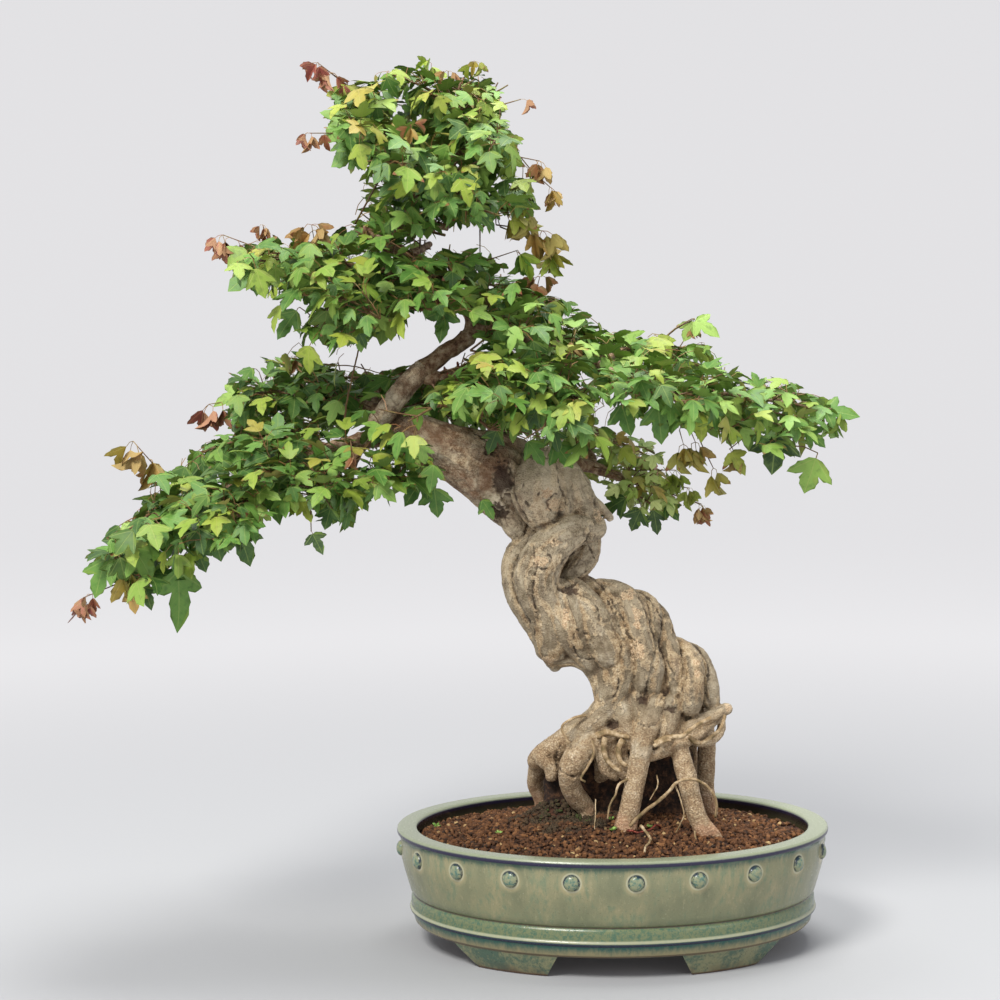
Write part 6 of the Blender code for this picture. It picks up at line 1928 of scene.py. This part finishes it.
# For each spray: the share of its branch from which leaves start, the leaves' size, how fresh, how pale and
# how far apart they stand. The right_low_back and centre_back sprays are made paler as painted light, for
# light that comes through their leaves from behind.
DEFAULT_GROWTH = (0.55, 1.0, 0.15, 0.46, 1.0)
GROWTH = {
    "low_left": (0.30, 1.15, 0.04, 0.5, 1.0), "upper_trunk": (0.66, 0.95, 0.3, 0.46, 1.0),
    "right_long": (0.22, 1.05, 0.15, 0.66, 1.3), "right_front": (0.55, 1.0, 0.1, 0.62, 1.25),
    "right_back": (0.55, 1.0, 0.15, 0.6, 1.0), "right_upper": (0.55, 1.0, 0.2, 0.6, 1.1),
    "back_left": (0.5, 1.0, 0.1, 0.46, 1.0), "right_low_back": (0.45, 0.85, 0.5, 1.18, 1.45),
    "centre_back": (0.3, 0.85, 0.3, 1.15, 1.2), "brown_stub": (0.8, 1.0, 0.2, 0.5, 1.0),
    "mid_left": (0.4, 1.05, 0.2, 0.56, 1.2), "mid_front": (0.55, 1.0, 0.15, 0.5, 1.2),
    "apex_left": (0.2, 0.95, 0.3, 0.46, 1.0),
}


# For each spray, young bronze shoots that stand out of its leaves: the shoot's start and end in the
# photograph's pixels, its depth, the leaves' length, how bronze they are and how many.
TIP_CLUSTERS = {
    "apex_left": (((366, 112), (334, 72), -26, 19, 0.95, 4), ((336, 76), (318, 62), -26, 17, 1.0, 3),
        ((352, 132), (309, 132), -36, 18, 0.85, 4)),
    "apex_right": (((500, 104), (521, 98), -50, 18, 0.9, 1), ((500, 152), (540, 160), -60, 19, 0.72, 4),
        ((532, 170), (550, 186), -60, 20, 0.7, 3)),
    "upper_right": (((484, 214), (522, 210), -50, 25, 0.5, 4), ((496, 224), (542, 230), -44, 25, 0.55, 5),
        ((500, 226), (552, 246), -40, 24, 0.4, 4), ((480, 262), (516, 250), -40, 25, 0.1, 3)),
    "mid_left": (((270, 252), (222, 234), -40, 20, 0.92, 5), ((272, 252), (262, 224), -42, 16, 0.85, 3),
        ((316, 254), (311, 224), -48, 23, 0.6, 5)),
    "back_left": (((300, 384), (294, 356), 120, 20, 0.75, 3), ((244, 398), (208, 404), 104, 24, 0.92, 4),
        ((420, 388), (414, 372), 40, 20, 0.3, 3)),
    "low_left": (((168, 482), (132, 441), -20, 28, 0.62, 4), ((160, 484), (148, 472), -10, 16, 0.7, 2),
        ((154, 532), (132, 518), -60, 17, 0.75, 3), ((138, 560), (128, 566), -90, 30, 0.5, 2),
        ((126, 580), (82, 598), -80, 21, 0.92, 5)),
    "centre_top": (((532, 306), (540, 276), 20, 20, 0.7, 4),),
    "right_upper": (((668, 366), (692, 328), 40, 12, 0.8, 2), ((706, 356), (702, 342), 40, 18, 0.1, 2)),
    "right_low_back": (((684, 496), (703, 506), 60, 17, 0.7, 3),
        ((660, 484), (690, 488), 60, 20, 0.35, 4), ((640, 470), (676, 470), 60, 20, 0.3, 4),
        ((672, 494), (702, 504), 90, 16, 0.75, 3)),
    "right_front": (((655, 370), (656, 380), -80, 26, 0.95, 1),),
    "right_long": (((690, 428), (696, 442), -70, 26, 0.5, 3), ((680, 430), (684, 444), -76, 24, 0.45, 3),
        ((726, 434), (734, 450), -70, 24, 0.5, 2), ((706, 452), (714, 468), -70, 26, 0.55, 2),
        ((818, 408), (836, 408), -40, 24, 0.1, 3)),
    "low_front": (((350, 440), (352, 452), -120, 14, 0.85, 2),),
    "upper_trunk": (((424, 76), (428, 60), 0, 16, 0.3, 3), ((470, 78), (474, 60), 0, 15, 0.4, 3),
        ((448, 84), (448, 70), -10, 15, 0.75, 2)),
    "apex_front": (((412, 132), (410, 124), -110, 17, 0.7, 3),),
    "right_back": (((576, 330), (574, 338), -60, 15, 0.8, 2),),
}

# For each spray, leaves that show their faces on their own: the blade's base and tip in pixels, depth, age,
# tone and, for some, how far they are rolled.
SINGLE_LEAVES = {
    "apex_left": (((347, 84), (345, 118), -32, 0.35, 0.7), ((352, 112), (322, 138), -40, 0.0, 0.85),
        ((360, 150), (328, 160), -40, 0.0, 0.7)),
    "mid_front": (((444, 310), (440, 339), -64, 0.0, 0.45), ((388, 316), (392, 340), -64, 0.2, 0.45),
        ((372, 300), (378, 326), -66, 0.0, 0.3)),
    "mid_left": (((352, 318), (346, 346), -70, 0.1, 0.5), ((326, 310), (322, 340), -74, 0.1, 0.4),
        ((296, 310), (276, 334), -70, 0.0, 0.5), ((258, 266), (226, 290), -60, 0.0, 0.6),
        ((246, 250), (224, 262), -60, 0.15, 0.8)),
    # In this spray the tones above 1 are painted light on leaves lit from behind.
    "right_low_back": (((626, 498), (600, 512), 40, 0.0, 0.2), ((655, 455), (652, 470), 44, 0.0, 1.2),
        ((668, 496), (674, 514), 50, 0.1, 1.2), ((628, 452), (612, 464), 46, 0.0, 1.1),
        ((648, 474), (662, 482), 44, 0.1, 1.2), ((641, 510), (631, 531), 44, 0.0, 0.15),
        ((654, 510), (659, 532), 50, 0.0, 0.1), ((666, 504), (682, 519), 56, 0.0, 0.35),
        ((674, 500), (664, 515), 60, 0.3, 0.9)),
    "upper_right": (((512, 218), (538, 226), -60, 0.35, 0.8),),
    "low_front": (((330, 508), (324, 530), -100, 0.0, 0.3), ((312, 534), (322, 552), -110, 0.0, 0.05),
        ((348, 512), (344, 528), -100, 0.0, 0.4), ((434, 488), (438, 518), -60, 0.0, 0.5),
        ((424, 476), (404, 502), -66, 0.0, 0.35)),
    "low_left": (((161, 521), (174, 549), -104, 0.0, 0.78), ((133, 548), (154, 580), -112, 0.0, 0.82),
        ((177, 572), (183, 627), -100, 0.0, 0.66, -0.8), ((194, 546), (207, 572), -90, 0.0, 0.35),
        ((144, 588), (150, 608), -100, 0.0, 0.2), ((104, 560), (92, 595), -96, 0.0, 0.66),
        ((132, 586), (133, 615), -98, 0.62, 0.5, 0.7), ((108, 540), (128, 551), -104, 0.0, 0.7),
        ((206, 490), (178, 504), -96, 0.0, 0.6)),
    "back_left": (((238, 391), (214, 403), 104, 0.12, 0.9),),
    "low_left_front": (((212, 530), (222, 562), -120, 0.0, 0.4),
        ((236, 526), (250, 562), -118, 0.0, 0.3)),
    "right_front": (((622, 404), (632, 436), -110, 0.0, 0.5), ((658, 404), (664, 440), -110, 0.0, 0.6)),
    "right_upper": (((694, 321), (684, 341), 38, 0.14, 0.95), ((696, 320), (719, 333), 36, 0.0, 1.0)),
    "right_long": (((778, 432), (772, 475), -80, 0.0, 0.08, 0.3),
        ((732, 452), (746, 472), -80, 0.35, 0.5), ((817, 458), (805, 494), -70, 0.1, 0.85),
        ((826, 410), (858, 413), -50, 0.0, 0.6), ((806, 430), (830, 444), -60, 0.0, 0.45),
        ((796, 418), (798, 440), -90, 0.0, 0.7)),
    "front_left": (((482, 500), (494, 516), -20, 0.0, 0.5), ((516, 412), (540, 424), -96, 0.0, 0.8),
        ((528, 441), (545, 461), -94, 0.0, 0.6), ((553, 429), (560, 450), -92, 0.0, 0.25),
        ((497, 430), (488, 451), -80, 0.0, 0.2), ((555, 443), (574, 468), -90, 0.0, 0.5),
        ((556, 406), (585, 421), -98, 0.0, 0.8)),
}

# For each spray, leafy side twigs that fill the outline where none of its arms reaches: through pixels, at
# one depth.
SIDE_TWIGS = {
    "low_left": ((((230, 490), (204, 530), (184, 572)), -84),
        (((130, 530), (120, 560), (140, 584)), -70)),
    "low_front": ((((380, 430), (416, 450), (424, 480)), -70),
        (((380, 430), (396, 460), (400, 484)), -50), (((352, 470), (338, 496), (330, 514)), -84)),
    "upper_left": ((((386, 166), (356, 148), (334, 140)), -26),),
    "apex_left": ((((380, 120), (356, 104), (344, 98)), -20),),
    "right_long": ((((676, 400), (692, 424), (702, 444)), -66),),
    "mid_front": ((((436, 300), (424, 268), (404, 250)), -52),
        (((446, 300), (452, 280), (446, 258)), -50), (((420, 290), (436, 316), (440, 330)), -48),
        (((384, 290), (368, 316), (352, 340)), -52), (((404, 262), (380, 246), (362, 234)), -30)),
    "mid_back": ((((440, 300), (462, 270), (484, 268)), 20),),
    "right_front": ((((470, 350), (500, 330), (540, 330)), -60),),
    "centre_top": ((((480, 320), (500, 290), (530, 300)), -30),),
    "upper_back": ((((420, 232), (408, 216), (420, 196)), -30),),
    "front_left": ((((446, 378), (462, 400), (500, 408)), -40),),
    "back_left": ((((400, 400), (440, 406), (490, 416)), 52), (((396, 384), (430, 392), (476, 402)), 62),
        (((424, 402), (452, 414), (500, 424)), 44)),
    "right_back": ((((560, 404), (520, 412), (476, 408)), 66),),
    "mid_left": ((((352, 286), (330, 312), (310, 330)), -56),),
    "right_low_back": ((((574, 428), (600, 436), (630, 446)), 60),
        (((610, 470), (640, 496), (660, 510)), 56)),
    "brown_stub": ((((440, 372), (470, 366), (500, 380)), -60),),
    "upper_right": ((((420, 228), (450, 222), (486, 226)), -20),),
}


def clipped(route):
    """The part of a twig up to where it first leaves the leaves that the photograph shows."""
    kept = []
    been_inside = False
    for point in route:
        inside = shows_in(LEAFY, point[:3])
        if been_inside and not inside:
            break
        been_inside = been_inside or inside
        kept.append(point)
    return kept if been_inside and len(kept) > 1 else []


def twigs_of(name):
    """The leafy end of a spray's branch, its leafy twigs, and the bare links that join its side twigs."""
    main, arms, _, _ = SPRAYS[name]
    leafy_from = GROWTH.get(name, DEFAULT_GROWTH)[0]
    branch = through(BRANCHES[name], TWIG_STEP)
    branch = branch[int(len(branch) * leafy_from):]
    end = spot_of(BRANCHES[name][-1])
    main_route = through([(*end, 2.4), *((*point, 1.7) for point in main)], TWIG_STEP)
    twigs = [main_route]
    links = []
    for fork, middle, tip in arms:
        twigs.append(through([(*main[fork], 1.5), (*middle, 1.4), (*tip, 1.0)], TWIG_STEP))
    for pixels, depth in SIDE_TWIGS.get(name, ()):
        route = [(*from_photo(*pixel, depth), 1.0) for pixel in pixels]
        start = spot_of(route[0])
        near = nearest_on((branch, *twigs[:len(arms) + 1]), start)
        links.append([Vector((*near, 1.1)), Vector((*near.lerp(start, 0.5), 1.0)), Vector(route[0])])
        twigs.append(through(route, TWIG_STEP))
    return branch, [twig for twig in map(clipped, twigs) if twig], links


def make_foliage():
    rng = random.Random(21)
    finish = leaf_finish()
    kinds = [leaf_kind(rng, math.radians(12 + 62 * index / (LEAF_KINDS - 1))) for index in range(LEAF_KINDS)]
    young_kinds = [leaf_kind(rng, math.radians(50 + 8 * index), 0.9, 0.9, rng.uniform(0.2, 0.4))
                   for index in range(5)]
    flat_kinds = [leaf_kind(rng, 0.06 * index, 0.0, 0.3, FLAT_STALK) for index in range(4)]
    shoots = []
    for name, (_, _, _, seed) in SPRAYS.items():
        _, size, freshness, _, _ = GROWTH.get(name, DEFAULT_GROWTH)
        branch, twigs, links = twigs_of(name)
        foliage = Foliage(name, kinds, young_kinds, flat_kinds, seed)
        for leaf in SINGLE_LEAVES.get(name, ()):
            foliage.single_leaf(twigs, *leaf)
        for cluster in TIP_CLUSTERS.get(name, ()):
            foliage.tip_cluster(twigs, *cluster)
        for twig in twigs:
            foliage.clothe(twig, LEAF_LENGTH * size, freshness)
        if len(branch) > 1:
            foliage.clothe(branch, LEAF_LENGTH * size, freshness * 0.5, pitch=SHOOT_PITCH * 1.3, reach=0.9)
        shoots += foliage.shoots + links + [list(twig) for twig in twigs]
        foliage.piece(finish)
    return shoots


# Bare shoots that show against the background: pixels, the depth at both ends, and the thickest radius.
BARE_SHOOTS = {
    "upright": (((343, 436), (346, 404), (350, 385), (354, 366), (358, 350), (363, 329), (374, 321)),
                (-26, -52), 1.25),
    "level": (((324, 364), (338, 365), (354, 366), (366, 369), (384, 374)), (-42, -40), 0.7),
}


def make_fine_twigs(shoots):
    twig = Finish("young_twig", roughness=0.55)
    here = twig.here()
    mottle = twig.noise(here, 8.0, detail=3.0)
    twig.colour(twig.between(mottle, (0.3, 76, 48, 32), (0.5, 110, 80, 48), (0.7, 122, 112, 60)))
    twig.relief(twig.noise(here, 1.0), 0.2)
    return dress(tubes("fine_twigs", shoots + seen_routes(BARE_SHOOTS), 0), twig, "bark", sharp=0)


# Thin roots: points in the photograph's pixels, the depth at both ends, and the thickest radius.
ROOTLET_TAPER = 0.35
ROOTLETS = {
    "aerial": (((630, 827), (641, 816), (655, 805), (668, 794), (678, 783), (691, 780), (702, 783),
                (712, 792), (717, 803), (716, 818)), (-60, -58), 1.9),
    "strand_left": (((586, 716), (573, 719), (562, 727), (566, 738), (569, 745)), (-22, -30), 1.5),
    "strand_middle": (((593, 741), (594, 755), (587, 769), (581, 779), (586, 783)), (-36, -36), 1.6),
    "creeping": (((628, 780), (619, 785), (616, 796), (610, 806), (608, 820)), (-46, -56), 1.4),
    "loose_a": (((657, 776), (658, 787), (650, 801)), (-30, -48), 0.8),
    "loose_b": (((676, 787), (682, 803), (684, 818), (676, 834)), (-56, -62), 0.9),
    "loose_c": (((596, 800), (595, 830)), (-40, -66), 0.6),
    "pale": (((641, 827), (648, 835), (651, 841), (646, 848), (645, 853)), (-72, -122), 1.5),
    "peg": (((695, 832), (697, 845)), (-62, -78), 1.0),
    "loop_left": (((606, 738), (604, 748), (607, 760), (614, 768), (622, 772)), (-36, -38), 3.2),
    "loop_right": (((624, 740), (619, 748), (620, 760), (627, 767)), (-36, -40), 3.4),
    "cross_tie": (((596, 737), (606, 733), (616, 735), (630, 738)), (-34, -36), 3.6),
    "right_wrap": (((655, 744), (668, 738), (682, 737), (694, 728), (712, 718)), (-46, -36), 3.0),
    "right_low": (((690, 738), (700, 744), (712, 738), (722, 728), (726, 716)), (-32, -14), 2.6),
    "split_stub": (((654, 747), (664, 742), (672, 741)), (-48, -46), 2.2),
}


def seen_routes(table):
    """Fine, uneven tubes through the pixels in a table like ROOTLETS, thinner towards their ends."""
    routes = []
    for pixels, (first, last), radius in table.values():
        ends = len(pixels) - 1
        route = [(*from_photo(*pixel, first + (last - first) * index / ends),
                  radius * (1.0 - ROOTLET_TAPER * index / ends))
                 for index, pixel in enumerate(pixels)]
        uneven = []
        for point in through(route, 2.0):
            spot = spot_of(point)
            swell = 1.0 + 0.15 * noise.noise(spot / 3.0)
            uneven.append(Vector((*(spot + noise.noise_vector(spot / 6.0) * 0.6), point[3] * swell)))
        routes.append(uneven)
    return routes


def make_rootlets():
    """The small roots that loop over the larger ones or hang free, as one set of fine tubes."""
    root = Finish("thin_root", roughness=0.75)
    here = root.here()
    patch = root.noise(here, 8.0, detail=4.0)
    speck = root.noise(here, 1.0, detail=4.0, roughness=0.7)
    tan = root.between(patch, (0.35, 112, 96, 62), (0.5, 158, 132, 96), (0.65, 206, 184, 150))
    root.colour(root.mix(speck.ramp(0.46, 0.30) * 0.6, tan, (78, 58, 40)))
    root.relief(speck, 0.5)
    return dress(tubes("rootlets", seen_routes(ROOTLETS), 2), root, "bark", sharp=0)


def on_soil(across, down):
    """The spot of the soil's surface that shows at a pixel."""
    y = -SOIL_HALF
    spot = from_photo(across, down, y)
    while spot.z > soil_height(spot.x, spot.y) and y < SOIL_HALF:
        y += 1.0
        spot = from_photo(across, down, y)
    return spot


# Small plants on the soil: pixel, leaves, their length.
SPROUTS = (((436, 829), 6, 5.5), ((499, 836), 5, 4.5), ((614, 833), 9, 5.0), ((621, 829), 9, 5.0),
           ((650, 830), 6, 4.5), ((612, 822), 6, 4.0))


def make_sprouts():
    """Seedlings and moss tufts: rosettes of tiny rounded leaves."""
    rng = random.Random(31)
    bm = bmesh.new()
    for pixel, count, length in SPROUTS:
        middle = on_soil(*pixel)
        for number in range(count):
            angle = 2.4 * number + rng.uniform(-0.3, 0.3)
            tilt = rng.uniform(0.3, 1.0)
            outward = Vector((math.cos(angle) * math.cos(tilt), math.sin(angle) * math.cos(tilt),
                              math.sin(tilt)))
            turn = outward.to_track_quat("X", "Z").to_matrix().to_4x4()
            shape = Matrix.Diagonal((length * 0.5, length * 0.34, length * 0.12, 1.0))
            spot = middle + outward * length * 0.55 + Vector((0, 0, 1.2))
            bmesh.ops.create_icosphere(bm, subdivisions=1, radius=MM,
                                       matrix=Matrix.Translation(place(*spot)) @ turn @ shape)
    green = Finish("seedling_green", roughness=0.5)
    tint = green.noise(green.here(), 9.0, detail=3.0)
    green.colour(green.between(tint, (0.35, 62, 92, 34), (0.5, 110, 150, 58), (0.65, 168, 204, 110)))
    return dress(object_from("sprouts", bm), green, "leaf", sharp=0)


def wire_route():
    """Up from the drain hole, out of the soil, along it, and round in a small curl."""
    on_top = [(x, y, 0.0) for x, y in WIRE_OUT]
    centre_x, centre_y = WIRE_CURL_CENTRE
    for step, degrees in enumerate(WIRE_CURL_ANGLES):
        angle = math.radians(degrees)
        on_top.append((centre_x + WIRE_CURL_RADIUS * math.cos(angle),
                       centre_y + WIRE_CURL_RADIUS * math.sin(angle), WIRE_CURL_RISE * step))
    route = [Vector((*point, WIRE_RADIUS)) for point in WIRE_HIDDEN]
    route += [Vector((x, y, soil_height(x, y) + WIRE_LIFT + rise, WIRE_RADIUS)) for x, y, rise in on_top]
    return through(route, 3.0)


# Wire wound round the stub: the share of the stub where it starts and ends, the turns and the first angle.
# Then how far it keeps from the stub's middle beyond the stub's radius, and its own radius.
STUB_WIRE = (0.22, 0.62, 2.5, 0.6)
STUB_BARK = 3.8
STUB_WIRE_RADIUS = 0.88


def stub_wire_route():
    """Round the stub at the trunk's bend, a little clear of its bark."""
    start, end, turns, first_angle = STUB_WIRE
    core = through(BRANCHES["brown_stub"], 1.0)
    core = core[int(len(core) * start):int(len(core) * end)]
    route = []
    for index, (here, ahead) in enumerate(zip(core, core[1:])):
        along = (ahead - here).to_3d().normalized()
        angle = first_angle + turns * 2 * math.pi * index / len(core)
        side = Matrix.Rotation(angle, 3, along) @ along.cross(UP).normalized()
        route.append(Vector((*(here.to_3d() + side * (here[3] + STUB_BARK)), STUB_WIRE_RADIUS)))
    return route


def make_wires():
    """The anchor wire and the few turns round the stub."""
    copper = Finish("copper_wire", roughness=0.38, metallic=0.85)
    here = copper.here()
    tarnish = copper.noise(here, 3.0, detail=4.0)
    copper.colour(copper.mix(tarnish.ramp(0.4, 0.65), (176, 92, 78), (112, 62, 54)))
    copper.rough(0.3 + 0.4 * tarnish)
    dress(tubes("anchor_wire_round", [wire_route()], 3), copper, "tie_wire", "anchor_wire", sharp=0)
    dress(tubes("stub_wire", [through(stub_wire_route(), 1.0)], 2), copper, "tie_wire", sharp=0)


make_camera()
make_stage()
make_lights()
make_pot()
plastic = plastic_finish()
for mesh_name in ("drain_mesh_left", "drain_mesh_right"):
    node = frame["nodes"][mesh_name]
    node.data.materials.clear()
    node.data.materials.append(plastic.material)
make_soil_bed()
bark = make_bark()
bark_tree = BVHTree.FromPolygons([vertex.co for vertex in bark.data.vertices],
                                 [face.vertices for face in bark.data.polygons])
make_grains(bark_tree)
make_branches()
make_wires()
make_root_mass()
make_rootlets()
make_sprouts()
make_fine_twigs(make_foliage())
